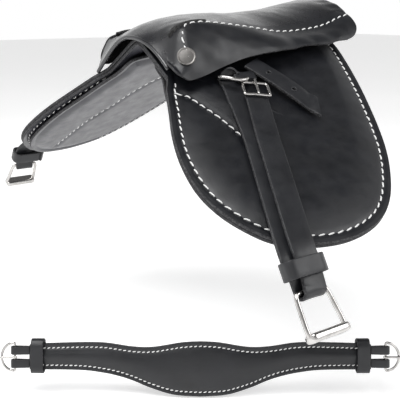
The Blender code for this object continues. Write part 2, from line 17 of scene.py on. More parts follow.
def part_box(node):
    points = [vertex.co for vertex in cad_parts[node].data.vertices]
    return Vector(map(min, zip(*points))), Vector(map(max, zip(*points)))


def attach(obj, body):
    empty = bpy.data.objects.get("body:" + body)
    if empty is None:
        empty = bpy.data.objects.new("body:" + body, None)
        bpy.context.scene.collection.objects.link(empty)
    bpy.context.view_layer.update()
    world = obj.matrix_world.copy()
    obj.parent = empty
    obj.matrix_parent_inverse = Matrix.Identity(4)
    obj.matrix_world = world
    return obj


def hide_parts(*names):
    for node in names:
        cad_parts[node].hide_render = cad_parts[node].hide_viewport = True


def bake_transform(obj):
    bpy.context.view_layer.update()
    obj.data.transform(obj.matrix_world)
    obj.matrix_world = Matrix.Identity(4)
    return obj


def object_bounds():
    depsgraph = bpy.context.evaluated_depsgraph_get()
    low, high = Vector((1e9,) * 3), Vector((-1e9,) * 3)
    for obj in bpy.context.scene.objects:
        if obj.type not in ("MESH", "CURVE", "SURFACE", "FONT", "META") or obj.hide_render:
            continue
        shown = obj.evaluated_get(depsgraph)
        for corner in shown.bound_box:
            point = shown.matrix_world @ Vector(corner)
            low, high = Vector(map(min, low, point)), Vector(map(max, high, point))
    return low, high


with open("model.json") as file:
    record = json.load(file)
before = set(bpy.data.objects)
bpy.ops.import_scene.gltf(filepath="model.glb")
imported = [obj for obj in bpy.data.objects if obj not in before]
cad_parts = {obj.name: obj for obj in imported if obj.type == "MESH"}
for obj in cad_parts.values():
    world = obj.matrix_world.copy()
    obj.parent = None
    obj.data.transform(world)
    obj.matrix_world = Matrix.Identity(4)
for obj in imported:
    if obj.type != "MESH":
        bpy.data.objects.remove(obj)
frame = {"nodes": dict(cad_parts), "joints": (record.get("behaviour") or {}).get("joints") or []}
CAD_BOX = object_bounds()

MM = 0.001
SIDES = (("L", 1), ("R", -1))
JOINTS = {joint["name"]: joint for joint in frame["joints"]}


# ---------------------------------------------------------------- small geometry helpers

def vec(*numbers):
    return np.array(numbers, float)


def unit(v):
    return v / np.linalg.norm(v, axis=-1, keepdims=True)


def smooth(t):
    """0 to 1 with flat ends."""
    t = np.clip(t, 0.0, 1.0)
    return t * t * (3.0 - 2.0 * t)


def hump(distance, width):
    """Bell of height 1 round distance 0."""
    return np.exp(-(distance / width) ** 2)


def lerp(a, b, t):
    return a + (b - a) * t


def ring_offsets(count, a, b):
    """Offsets round a unit circle in the plane of a and b."""
    angle = np.arange(count) * 2.0 * pi / count
    return np.cos(angle)[:, None] * a + np.sin(angle)[:, None] * b


def spline(points, steps, closed=False):
    """Catmull-Rom curve through the points."""
    points = np.asarray(points, float)
    count = len(points)
    spans = count if closed else count - 1
    curve = []
    for i in range(spans):
        if closed:
            p0, p1, p2, p3 = (points[(i + k) % count] for k in (-1, 0, 1, 2))
        else:
            p0, p1, p2, p3 = (points[min(max(i + k, 0), count - 1)] for k in (-1, 0, 1, 2))
        for t in np.arange(steps) / steps:
            curve.append(0.5 * (2.0 * p1 + (p2 - p0) * t + (2.0 * p0 - 5.0 * p1 + 4.0 * p2 - p3) * t ** 2
                                + (3.0 * p1 - p0 - 3.0 * p2 + p3) * t ** 3))
    if not closed:
        curve.append(points[-1])
    return np.array(curve)


def lengths_along(points, closed=False):
    ends = np.vstack([points, points[:1]]) if closed else points
    steps = np.linalg.norm(np.diff(ends, axis=0), axis=1)
    return np.concatenate([[0.0], np.cumsum(steps)])


def at_lengths(points, places, closed=False):
    """Points at these distances along a polyline."""
    reach = lengths_along(points, closed)
    ends = np.vstack([points, points[:1]]) if closed else points
    return np.stack([np.interp(places, reach, ends[:, k]) for k in range(ends.shape[1])], axis=1)


def resample(points, pitch, closed=False):
    total = lengths_along(points, closed)[-1]
    count = max(3, int(round(total / pitch)))
    places = np.arange(count) * total / count if closed else np.linspace(0.0, total, count + 1)
    return at_lengths(points, places, closed)


TABLE_STEPS = 8


def curve_table(pairs):
    """A smooth function through (position, value) pairs in rising order."""
    dense = spline(np.array(pairs, float), TABLE_STEPS)
    return lambda value: np.interp(value, dense[:, 0], dense[:, 1])


def distance_to_line(points, line):
    """Distance from each 2-D point to a polyline."""
    a, b = line[:-1], line[1:]
    run = b - a
    t = np.einsum("pij,ij->pi", points[:, None, :] - a[None], run) / (run ** 2).sum(axis=1)
    nearest = a[None] + np.clip(t, 0.0, 1.0)[..., None] * run[None]
    return np.linalg.norm(points[:, None, :] - nearest, axis=2).min(axis=1)


def wobble(points, scale, seed):
    """Smooth deterministic noise, about -1 to 1, with features of about scale mm."""
    turn = np.random.default_rng(seed).normal(size=(6, points.shape[1]))
    phase = np.random.default_rng(seed + 1).uniform(0.0, 2.0 * pi, 6)
    return np.sin(points @ (unit(turn).T * 2.0 * pi / scale) + phase).sum(axis=1) / 3.0


# ---------------------------------------------------------------- meshes and pieces

class Shape:
    """Points and faces being put together. Each face has the number of its material."""

    def __init__(self):
        self.points = []
        self.faces = []
        self.slots = []
        self.count = 0

    def add(self, points, faces, slots):
        points = np.asarray(points, float).reshape(-1, 3)
        self.points.append(points)
        self.faces += [tuple(self.count + i for i in face) for face in faces]
        self.slots += [slots] * len(faces) if np.isscalar(slots) else list(slots)
        self.count += len(points)

    def array(self):
        return np.vstack(self.points)


def make_piece(name, shape, materials, sharp=42.0):
    """A smooth-shaded object from a shape in millimetres."""
    mesh = bpy.data.meshes.new(name)
    mesh.from_pydata((shape.array() * MM).tolist(), [], shape.faces)
    mesh.polygons.foreach_set("material_index", shape.slots)
    work = bmesh.new()
    work.from_mesh(mesh)
    bmesh.ops.recalc_face_normals(work, faces=work.faces)
    work.to_mesh(mesh)
    work.free()
    for material in materials:
        mesh.materials.append(material)
    mesh.shade_smooth()
    mesh.set_sharp_from_angle(angle=radians(sharp))
    item = bpy.data.objects.new(name, mesh)
    bpy.context.scene.collection.objects.link(item)
    return item


def surface_of(shape):
    """A tree for finding the nearest place on a shape, in millimetres."""
    return BVHTree.FromPolygons([Vector(p) for p in shape.array()], shape.faces)


def loft(rings, slots, closed=False):
    """A skin through rings of equal length. Open lofts are capped by fans."""
    count = len(rings[0])
    points = np.vstack(rings)
    faces, numbers = [], []
    spans = len(rings) if closed else len(rings) - 1
    for r in range(spans):
        for i in range(count):
            j = (i + 1) % count
            a, b = r * count, ((r + 1) % len(rings)) * count
            faces.append((a + i, a + j, b + j, b + i))
            numbers.append(slots(r, i))
    if not closed:
        points = np.vstack([points, rings[0].mean(axis=0), rings[-1].mean(axis=0)])
        last = (len(rings) - 1) * count
        for i in range(count):
            j = (i + 1) % count
            faces.append((j, i, len(rings) * count))
            faces.append((last + i, last + j, len(rings) * count + 1))
            numbers += [slots(0, i), slots(len(rings) - 2, i)]
    shape = Shape()
    shape.add(points, faces, numbers)
    return shape


RIM_SHARES = (0.15, 0.38, 0.62, 0.85)
NEVER_ZERO = 1e-9


def inward_of(outline):
    """Unit directions into a closed 2-D outline at its points."""
    tangent = unit(np.roll(outline, -1, axis=0) - np.roll(outline, 1, axis=0))
    inward = np.stack([-tangent[:, 1], tangent[:, 0]], axis=1)
    return -inward if ((outline.mean(axis=0) - outline) * inward).sum() < 0 else inward


def ring_sheet(outline, insets, fills, place, top, bottom, rounding):
    """A sheet with a rounded rim, from a closed 2-D outline.

    insets are distances inwards from the outline and fills are shares of what is left up to its middle.
    place(xs, heights) gives points, and top and bottom give heights for (xs, distances from the outline).
    """
    inward, middle = inward_of(outline), outline.mean(axis=0)
    levels = [(outline + inward * inset, np.full(len(outline), float(inset))) for inset in insets]
    deep, deep_inset = levels[-1]
    for share in fills:
        ring = lerp(deep, middle, share)
        levels.append((ring, deep_inset + np.linalg.norm(ring - deep, axis=1)))
    low = [place(xs, bottom(xs, d)) for xs, d in reversed(levels)]
    high = [place(xs, top(xs, d)) for xs, d in levels]
    edge_low, edge_high = bottom(*levels[0]), top(*levels[0])
    rim = []
    for share in RIM_SHARES:
        bulged = outline - inward * rounding * sin(pi * share)
        rim.append(place(bulged, lerp(edge_low, edge_high, share)))
    first_rim = len(low) - 1
    last_rim = first_rim + len(rim)

    def slot(r, i):
        if r < first_rim:
            return 2
        return 1 if r <= last_rim else 0

    return loft(low + rim + high, slot)


def grid_sheet(top, bottom, rounding):
    """A sheet with a rounded rim between two grids of points."""
    columns, rows = top.shape[:2]
    shape = Shape()
    index = np.arange(columns * rows).reshape(columns, rows)
    faces = []
    for i in range(columns - 1):
        for j in range(rows - 1):
            faces.append((index[i, j], index[i + 1, j], index[i + 1, j + 1], index[i, j + 1]))
    count = columns * rows
    lower = [tuple(count + k for k in reversed(face)) for face in faces]
    loop = list(index[0, :]) + list(index[1:, -1]) + list(index[-1, -2::-1]) + list(index[-2:0:-1, 0])
    flat_top = top.reshape(-1, 3)
    within = np.pad(top[1:-1, 1:-1], ((1, 1), (1, 1), (0, 0)), mode="edge").reshape(-1, 3)
    outward = unit((flat_top - within)[loop] + NEVER_ZERO)
    high, low = flat_top[loop], bottom.reshape(-1, 3)[loop]
    points = [flat_top, bottom.reshape(-1, 3)]
    rings = [np.array(loop)]
    start = 2 * count
    for share in reversed(RIM_SHARES):
        points.append(lerp(low, high, share) + outward * rounding * sin(pi * share))
        rings.append(np.arange(start, start + len(loop)))
        start += len(loop)
    rings.append(np.array(loop) + count)
    rim = []
    for ring, after in zip(rings, rings[1:]):
        for k in range(len(loop)):
            m = (k + 1) % len(loop)
            rim.append((ring[k], ring[m], after[m], after[k]))
    everything = faces + lower + rim
    slots = [0] * len(faces) + [2] * len(lower) + [1] * len(rim)
    shape.add(np.vstack(points), [tuple(int(i) for i in face) for face in everything], slots)
    return shape


def grid_normals(top):
    """Unit normals of a grid of points."""
    along = np.gradient(top, axis=0)
    across = np.gradient(top, axis=1)
    return unit(np.cross(along, across))


# ---------------------------------------------------------------- straps, wires and stitches

def rounded_section(half_width, half_height, corner, crown=0.0):
    """Points round a rounded rectangle, and whether each belongs to a narrow side."""
    points, narrow = [], []
    for centre_x, centre_y, start in ((1, 1, 0.0), (-1, 1, 0.5), (-1, -1, 1.0), (1, -1, 1.5)):
        for k in range(4):
            angle = pi * (start + k / 6.0)
            points.append((centre_x * (half_width - corner) + corner * cos(angle),
                           centre_y * (half_height - corner) + corner * sin(angle)))
            narrow.append(abs(cos(angle)) > 0.45)
        if centre_x == centre_y:
            for share in (0.25, 0.5, 0.75):
                x = centre_x * (half_width - corner) * (1.0 - 2.0 * share)
                points.append((x, centre_y * (half_height + crown * (1.0 - (2.0 * share - 1.0) ** 2))))
                narrow.append(False)
    return np.array(points), narrow


def strap_shape(centres, across, normals, width, thickness, corner=0.55, crown=0.15):
    """A leather strap along centres. across is its width direction at each of them."""
    section, narrow = rounded_section(width / 2.0, thickness / 2.0, min(corner, thickness * 0.45), crown)
    rings = []
    for centre, side, normal in zip(centres, across, normals):
        rings.append(centre + section[:, :1] * side + section[:, 1:] * normal)
    return loft(rings, lambda r, i: 1 if narrow[i] and narrow[(i + 1) % len(narrow)] else 0)


def frames_of(centres, across_hint):
    """Tangents, width directions and normals along a centreline."""
    tangents = unit(np.gradient(centres, axis=0))
    across = unit(across_hint - (across_hint * tangents).sum(axis=1, keepdims=True) * tangents)
    return tangents, across, np.cross(tangents, across)


def tube(points, radius, closed=False, sides=16, hint=vec(0, 0, 1)):
    """A round bar along points, in millimetres."""
    points = np.asarray(points, float)
    if closed:
        tangents = unit(np.roll(points, -1, axis=0) - np.roll(points, 1, axis=0))
    else:
        tangents = unit(np.gradient(points, axis=0))
    first = unit(np.cross(tangents, np.broadcast_to(hint, points.shape)) + NEVER_ZERO)
    second = np.cross(tangents, first)
    radii = np.broadcast_to(radius, (len(points),))
    rings = [point + r * ring_offsets(sides, a, b) for point, a, b, r in zip(points, first, second, radii)]
    return loft(rings, lambda r, i: 0, closed)


def rounded_bar(points, radius, hint=vec(0, 0, 1)):
    """An open bar whose ends are rounded."""
    points = np.asarray(points, float)
    first, last = unit(points[0] - points[1]), unit(points[-1] - points[-2])
    ends = ((0.0, 1.0), (0.45, 0.88), (0.8, 0.6), (1.0, 0.15))
    head = [points[0] + first * radius * reach for reach, _ in reversed(ends[1:])]
    tail = [points[-1] + last * radius * reach for reach, _ in ends[1:]]
    shares = [share for _, share in reversed(ends[1:])] + [1.0] * len(points) + [s for _, s in ends[1:]]
    return tube(np.vstack([head, points, tail]), radius * np.array(shares), hint=hint)


STITCH_SIDES = 7
STITCH_STEPS = 7
STITCH_SINK = 0.35  # share of the thread's radius that is pulled into the leather


def stitch_shape(path, surface, outward, pitch, dash, radius, lean):
    """A row of thread stitches laid on a surface along a path."""
    total = lengths_along(path)[-1]
    count = int(total // pitch)
    spare = (total - count * pitch) / 2.0
    shape = Shape()
    for k in range(count):
        middle = spare + (k + 0.5) * pitch
        shares = np.linspace(-0.5, 0.5, STITCH_STEPS)
        line = at_lengths(path, np.clip(middle + shares * dash, 0.0, total))
        seats, normals = [], []
        for point in line:
            place, normal, _, _ = surface.find_nearest(Vector(point))
            normal = np.array(normal)
            seats.append(np.array(place))
            normals.append(normal if normal @ outward > 0 else -normal)
        seats, normals = np.array(seats), unit(np.array(normals).mean(axis=0))
        heading = unit(seats[-1] - seats[0])
        aside = np.cross(normals, heading)
        bow = 1.0 - (2.0 * shares) ** 4
        rise = radius * (bow * (1.0 - STITCH_SINK) - (1.0 - bow) * 0.6)
        centres = seats + rise[:, None] * normals + (shares * 2.0 * lean)[:, None] * aside
        girths = radius * (0.55 + 0.45 * bow)
        offsets = ring_offsets(STITCH_SIDES, aside, normals)
        part = loft([centre + girth * offsets for centre, girth in zip(centres, girths)], lambda r, i: 0)
        shape.add(part.array(), part.faces, 0)
    return shape


# ---------------------------------------------------------------- materials

def new_material(name, roughness, metallic=0.0, coat=0.0, specular=0.5, sheen=0.0):
    """A material, its node tree and its shader, with the sockets that are the same all over set here."""
    material = bpy.data.materials.new(name)
    material.use_nodes = True
    tree = material.node_tree
    shader = tree.nodes["Principled BSDF"]
    shader.inputs["Roughness"].default_value = roughness
    shader.inputs["Metallic"].default_value = metallic
    shader.inputs["Coat Weight"].default_value = coat
    shader.inputs["Coat Roughness"].default_value = 0.25
    shader.inputs["Specular IOR Level"].default_value = specular
    shader.inputs["Sheen Weight"].default_value = sheen
    return material, tree, shader


def noise(tree, scale, detail=3.0, kind="ShaderNodeTexNoise"):
    """A procedural texture in the object's own metres; scale counts features in a metre."""
    place = tree.nodes.get("Texture Coordinate") or tree.nodes.new("ShaderNodeTexCoord")
    node = tree.nodes.new(kind)
    node.inputs["Scale"].default_value = scale
    if "Detail" in node.inputs:
        node.inputs["Detail"].default_value = detail
    tree.links.new(place.outputs["Object"], node.inputs["Vector"])
    return node


def value_of(node):
    return node.outputs.get("Fac") or node.outputs["Distance"]


def remap(tree, source, from_low, from_high, to_low, to_high):
    node = tree.nodes.new("ShaderNodeMapRange")
    node.inputs["From Min"].default_value = from_low
    node.inputs["From Max"].default_value = from_high
    node.inputs["To Min"].default_value = to_low
    node.inputs["To Max"].default_value = to_high
    tree.links.new(source, node.inputs["Value"])
    return node.outputs["Result"]


def colour_ramp(tree, source, stops):
    node = tree.nodes.new("ShaderNodeValToRGB")
    ramp = node.color_ramp
    while len(ramp.elements) < len(stops):
        ramp.elements.new(0.5)
    for element, (place, colour) in zip(ramp.elements, stops):
        element.position = place
        element.color = (*colour, 1.0)
    tree.links.new(source, node.inputs["Fac"])
    return node.outputs["Color"]


def bump(tree, shader, source, distance, strength=1.0, under=None):
    node = tree.nodes.new("ShaderNodeBump")
    node.inputs["Distance"].default_value = distance
    node.inputs["Strength"].default_value = strength
    tree.links.new(source, node.inputs["Height"])
    if under is not None:
        tree.links.new(under, node.inputs["Normal"])
    tree.links.new(node.outputs["Normal"], shader.inputs["Normal"])
    return node.outputs["Normal"]


def leather_material(name, dark, pale, roughness, grain=1500.0, depth=0.00005, coat=0.12):
    """Finished leather: pebbled grain, fine creases, uneven dye and a polish that varies."""
    material, tree, shader = new_material(name, roughness, coat=coat)
    patches = value_of(noise(tree, 45.0, 4.0))
    tree.links.new(colour_ramp(tree, patches, ((0.32, dark), (0.72, pale))), shader.inputs["Base Color"])
    polish = value_of(noise(tree, 110.0, 5.0))
    rough = remap(tree, polish, 0.3, 0.7, roughness - 0.06, roughness + 0.09)
    tree.links.new(rough, shader.inputs["Roughness"])
    creases = bump(tree, shader, value_of(noise(tree, 320.0, 6.0)), depth * 1.6, 0.5)
    pebbles = value_of(noise(tree, grain, kind="ShaderNodeTexVoronoi"))
    bump(tree, shader, pebbles, depth, 0.55, creases)
    return material


def raw_edge_material(name, dark, pale):
    """The cut edge of leather: matt, fibrous and worn paler on its high spots."""
    material, tree, shader = new_material(name, 0.72, specular=0.35)
    fibres = value_of(noise(tree, 900.0, 6.0))
    tree.links.new(colour_ramp(tree, fibres, ((0.38, dark), (0.70, pale))), shader.inputs["Base Color"])
    coarse = bump(tree, shader, value_of(noise(tree, 420.0, 4.0)), 0.00025, 0.6)
    bump(tree, shader, fibres, 0.00012, 0.8, coarse)
    return material


def metal_material(name, colour, roughness):
    """Nickel plate with faint hairlines and uneven polish."""
    material, tree, shader = new_material(name, roughness, metallic=1.0)
    cloud = value_of(noise(tree, 260.0, 5.0))
    worn = tuple(c * 0.72 for c in colour)
    tree.links.new(colour_ramp(tree, cloud, ((0.30, worn), (0.62, colour))), shader.inputs["Base Color"])
    tree.links.new(remap(tree, cloud, 0.3, 0.7, roughness + 0.10, roughness), shader.inputs["Roughness"])
    bump(tree, shader, value_of(noise(tree, 1400.0, 2.0)), 0.00001, 0.5)
    return material


def thread_material(name):
    """Waxed white thread, with the twist of its strands as small ridges."""
    material, tree, shader = new_material(name, 0.62, sheen=0.25)
    fuzz = value_of(noise(tree, 2600.0, 3.0))
    tree.links.new(colour_ramp(tree, fuzz, ((0.25, (0.50, 0.50, 0.50)), (0.62, (0.90, 0.90, 0.89)))),
                   shader.inputs["Base Color"])
    bump(tree, shader, fuzz, 0.00012, 0.7)
    return material


def foam_material(name):
    material, tree, shader = new_material(name, 0.95, specular=0.2)
    cells = value_of(noise(tree, 950.0, kind="ShaderNodeTexVoronoi"))
    tree.links.new(colour_ramp(tree, cells, ((0.05, (0.020, 0.020, 0.022)), (0.6, (0.055, 0.055, 0.060)))),
                   shader.inputs["Base Color"])
    bump(tree, shader, cells, 0.0003, 0.8)
    return material


def board_material(name):
    """Black-dyed leatherboard: pressed fibre with a dull skin."""
    material, tree, shader = new_material(name, 0.68, specular=0.35)
    fibre = value_of(noise(tree, 700.0, 7.0))
    tree.links.new(colour_ramp(tree, fibre, ((0.30, (0.012, 0.012, 0.014)), (0.70, (0.040, 0.037, 0.036)))),
                   shader.inputs["Base Color"])
    bump(tree, shader, fibre, 0.00012, 0.6)
    return material


FLOOR_GLOW = 0.42  # evens out the white of the sweep


def floor_material(name):
    material, tree, shader = new_material(name, 0.55, specular=0.3)
    cloud = value_of(noise(tree, 3.0, 2.0))
    tree.links.new(colour_ramp(tree, cloud, ((0.3, (0.86, 0.86, 0.86)), (0.7, (0.90, 0.90, 0.90)))),
                   shader.inputs["Base Color"])
    shader.inputs["Emission Color"].default_value = (1.0, 1.0, 1.0, 1.0)
    shader.inputs["Emission Strength"].default_value = FLOOR_GLOW
    return material


LEATHER = leather_material("black_leather", (0.0030, 0.0035, 0.0052), (0.0065, 0.0072, 0.0100), 0.40)
SEAT_LEATHER = leather_material("seat_leather", (0.0032, 0.0035, 0.0052), (0.0070, 0.0074, 0.0105), 0.27,
                                grain=1350.0, coat=0.6)
STRAP_LEATHER = leather_material("strap_leather", (0.0060, 0.0065, 0.0085), (0.0120, 0.0127, 0.0155), 0.40,
                                 grain=1700.0)
FLESH = raw_edge_material("leather_back", (0.012, 0.012, 0.013), (0.040, 0.039, 0.038))
RAW_EDGE = raw_edge_material("raw_edge", (0.010, 0.010, 0.012), (0.075, 0.075, 0.078))
LINING = leather_material("lining_leather", (0.022, 0.022, 0.028), (0.034, 0.034, 0.043), 0.40,
                          grain=1900.0, depth=0.00003, coat=0.25)
THREAD = thread_material("white_thread")
STEEL = metal_material("nickel_plate", (0.60, 0.585, 0.57), 0.16)
DULL_STEEL = metal_material("worn_nickel", (0.26, 0.25, 0.24), 0.30)
FOAM = foam_material("foam_rubber")
BOARD = board_material("leatherboard")

SHEET = (LEATHER, RAW_EDGE, FLESH)
SEAT_SHEET = (SEAT_LEATHER, RAW_EDGE, FLESH)
LINING_SHEET = (FLESH, RAW_EDGE, LINING)
STRAP = (STRAP_LEATHER, RAW_EDGE)


def finish_piece(item, body, slot, *nodes):
    """Say which body a piece rides on and hide the CAD nodes it stands for. slot is not used."""
    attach(item, body)
    if nodes:
        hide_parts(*nodes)


def add_piece(name, shape, materials, body, slot, *nodes):
    finish_piece(make_piece(name, shape, materials), body, slot, *nodes)


# ---------------------------------------------------------------- one side of the saddle

HINGE_X, HINGE_S, HINGE_H = -66.0, 56.0, 9.2  # the flap's hinge in a side's own coordinates
BULGE, BULGE_CENTRE, BULGE_HALF = 2.0, 132.0, 88.0
PLY, GAP = 2.4, 0.3
CROWN = 2.0
STITCH_INSET = 5.2


def bulge(s):
    return BULGE * np.maximum(0.0, 1.0 - ((s - BULGE_CENTRE) / BULGE_HALF) ** 2)


class Side:
    """One side: along the ridge, down the slope and out of the slope, as its joints say."""

    def __init__(self, name, sign):
        lift, swing = JOINTS["flap_lift_" + name], JOINTS["leather_swing_" + name]
        self.name, self.sign = name, sign
        self.along = unit(vec(*lift["axis"]) * sign)
        self.out = unit(vec(*swing["axis"]) * sign)
        self.down = sign * np.cross(self.out, self.along)
        self.pivot = vec(*lift["pos_m"]) / MM

    def place(self, xs, heights):
        """Points at (x along, s down) pairs and heights out of the slightly bulged side."""
        xs = np.atleast_2d(xs)
        rise = np.broadcast_to(heights, (len(xs),)) - HINGE_H + bulge(xs[:, 1]) - bulge(HINGE_S)
        return (self.pivot + (xs[:, :1] - HINGE_X) * self.along + (xs[:, 1:2] - HINGE_S) * self.down
                + rise[:, None] * self.out)

    def point(self, x, s, h):
        return self.place(vec(x, s), h)[0]


SIDE = {name: Side(name, sign) for name, sign in SIDES}

FLAP_EDGE = ((-12, 41), (-4, 41), (0, 46), (5, 54), (11, 62), (22, 82), (33, 102), (42, 124), (47, 148),
             (45, 169), (37, 188), (27, 201), (11, 211), (-12, 218), (-35, 218), (-55, 211), (-75, 195), (-97, 168),
             (-122, 124), (-140, 86), (-149, 62), (-149, 50), (-138, 43), (-75, 41))
KNEE_SEAM = ((9, 65), (3, 74), (0, 86), (-3.5, 100), (-5.6, 117), (-6, 134), (3, 158), (12, 178), (19, 198))
PANEL_EDGE = ((-30, 21), (-10, 21), (-4, 27), (-1, 40), (8, 58), (18, 80), (29, 101), (37, 123), (42, 147),
              (40, 168), (32, 186), (22, 197), (8, 205), (-13, 211), (-36, 211), (-53, 205), (-73, 189), (-95, 162),
              (-117, 124), (-134, 88), (-143, 60), (-142, 40), (-128, 28), (-75, 22))
PANEL_SEAM = ((10, 188), (6, 179), (-8, 142), (-25, 117), (-39, 91), (-58, 72), (-80, 58))
MARK_PLACE, MARK_HALVES = (-55, 173), (11.5, 8.5)
INSETS = (0.0, 0.7, 1.8, 3.0, 4.0, 4.7, 5.2, 5.7, 6.4, 7.4, 9.0, 11.0, 13.0)
PANEL_INSETS = (0.0, 0.7, 1.8, 3.0, 3.8, 4.5, 5.2, 6.0, 7.5, 9.5, 12.0)
FILLS = tuple(np.linspace(0.0, 1.0, 27)[1:-1])
EDGE_ROUND = 0.5  # how far the raw edge of a ply bulges
SHEET_PITCH = 2.2
DEEP_INSIDE = 12.0  # stands for every distance past the last inset
SEAM_PITCH, SEAM_DASH, PANEL_PITCH = 6.6, 4.7, 6.4


def flap_top(xs, d):
    """Height of the flap's face: rounded border, stitched channel, crown and knee roll."""
    knee = distance_to_line(xs, spline(KNEE_SEAM, 6))
    crown = (CROWN * smooth((d - STITCH_INSET) / 10.0)
             + 0.25 * smooth(d / 3.0) * smooth((STITCH_INSET - d) / 3.0))
    seam = smooth((d - 5.0) / 4.0) * smooth((xs[:, 1] - 60.0) / 8.0)
    valley = 1.1 * hump(knee, 2.6) + 0.5 * hump(knee, 7.0)
    ripple = 0.10 * wobble(xs, 34.0, 3) + 0.05 * wobble(xs, 13.0, 5)
    return PLY + crown - valley * seam - 0.55 * hump(d - STITCH_INSET, 1.1) + ripple * smooth(d / 6.0)


def flap_bottom(xs, d):
    return np.zeros(len(xs))


def backing_bottom(xs, d):
    return np.full(len(xs), -GAP - PLY) + 0.35 * hump(d - STITCH_INSET, 1.1)


def backing_top(xs, d):
    return np.full(len(xs), -GAP)


PANEL_TOP = -5.4


def panel_top(xs, d):
    return np.full(len(xs), PANEL_TOP)


def panel_bottom(xs, d):
    """The face that lies on the horse: a flat border, a pressed channel, then the quilted pad."""
    seam = distance_to_line(xs, spline(PANEL_SEAM, 6))
    pad = 1.3 * smooth((d - 5.5) / 6.0) * smooth(seam / 7.0 + 0.25)
    return PANEL_TOP - PLY - pad + 0.9 * hump(d - 4.5, 1.5) + 0.10 * wobble(xs, 40.0, 9)


def side_line(side, pairs, height):
    """A smooth line laid on a side at one height."""
    return side.place(spline(pairs, 10), height)


def outline_of(edge):
    return resample(spline(edge, 8, closed=True), SHEET_PITCH, closed=True)


def inset_outline(edge, inset):
    outline = outline_of(edge)
    return outline + inward_of(outline) * inset


def cut_line(outline, low):
    """The part of a closed outline that lies below s = low, in order, starting at its front."""
    keep = outline[:, 1] > low
    start = next(i for i in range(len(keep)) if keep[i] and not keep[i - 1])
    line = []
    for k in range(len(keep)):
        if not keep[(start + k) % len(keep)]:
            break
        line.append(outline[(start + k) % len(keep)])
    return np.array(line)


FLAP_BLEND = (44.0, 61.0)  # down the side, the ends of a band between the seat and the flap

SETTLE_FRAMES = 14
SETTLE_LIMIT = 1.1 * MM  # farthest that a face may swell
SETTLE_PRESSURE = 900.0
SETTLE_EASE = 5.0  # width of the band beside the stitches in which the leather comes free


def settle(item, free):
    """Lets a padded face swell under its filling with cloth physics, held where free is 0."""
    mesh = item.data
    count = len(mesh.vertices)
    before = np.empty(count * 3)
    mesh.vertices.foreach_get("co", before)
    before = before.reshape(-1, 3)
    held = item.vertex_groups.new(name="held")
    for index, share in enumerate(free):
        held.add([index], float(1.0 - share), "REPLACE")
    cloth = item.modifiers.new("settling", "CLOTH")
    cloth.settings.quality = 6
    cloth.settings.mass = 0.3
    cloth.settings.tension_stiffness = cloth.settings.compression_stiffness = 40.0
    cloth.settings.shear_stiffness = 20.0
    cloth.settings.bending_stiffness = 4.0
    cloth.settings.air_damping = 6.0
    cloth.settings.vertex_group_mass = held.name
    cloth.settings.pin_stiffness = 1.0
    cloth.settings.effector_weights.gravity = 0.0
    cloth.settings.use_pressure = True
    cloth.settings.uniform_pressure_force = SETTLE_PRESSURE
    cloth.collision_settings.use_collision = False
    cloth.point_cache.frame_end = SETTLE_FRAMES
    scene = bpy.context.scene
    for frame_number in range(1, SETTLE_FRAMES + 1):
        scene.frame_set(frame_number)
    swollen = item.evaluated_get(bpy.context.evaluated_depsgraph_get()).data
    after = np.empty(count * 3)
    swollen.vertices.foreach_get("co", after)
    item.modifiers.remove(cloth)
    item.vertex_groups.remove(held)
    scene.frame_set(1)
    shift = np.nan_to_num(after.reshape(-1, 3) - before)
    size = np.linalg.norm(shift, axis=1)[:, None]
    shift *= np.minimum(1.0, SETTLE_LIMIT / np.maximum(size, NEVER_ZERO)) * np.asarray(free)[:, None]
    mesh.vertices.foreach_set("co", (before + shift).ravel())
    mesh.update()


def blend_flap(side, item, slot, *nodes):
    """Bake a flap piece's placing into its mesh and hide the CAD nodes it stands for. The ends of the band between
    seat and flap are worked out but not used.
    """
    if nodes:
        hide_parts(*nodes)
    start, end = (side.point(HINGE_X, s, 0.0) * MM for s in FLAP_BLEND)
    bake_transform(item)
    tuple(start)
    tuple(end)


def mark_shape(side, surface):
    """A plain embossed oval with a smaller one inside it."""
    shape = Shape()
    angle = np.linspace(0.0, 2.0 * pi, 61)[:-1]
    for share, radius in ((1.0, 0.42), (0.72, 0.3)):
        ring = vec(*MARK_PLACE) + np.stack([np.cos(angle), np.sin(angle)], axis=1) * vec(*MARK_HALVES) * share
        laid = []
        for point in side.place(ring, PLY + CROWN):
            place, _, _, _ = surface.find_nearest(Vector(point))
            laid.append(np.array(place) + side.out * 0.05)
        line = tube(laid, radius, True, 8, hint=side.out)
        shape.add(line.array(), line.faces, 0)
    return shape


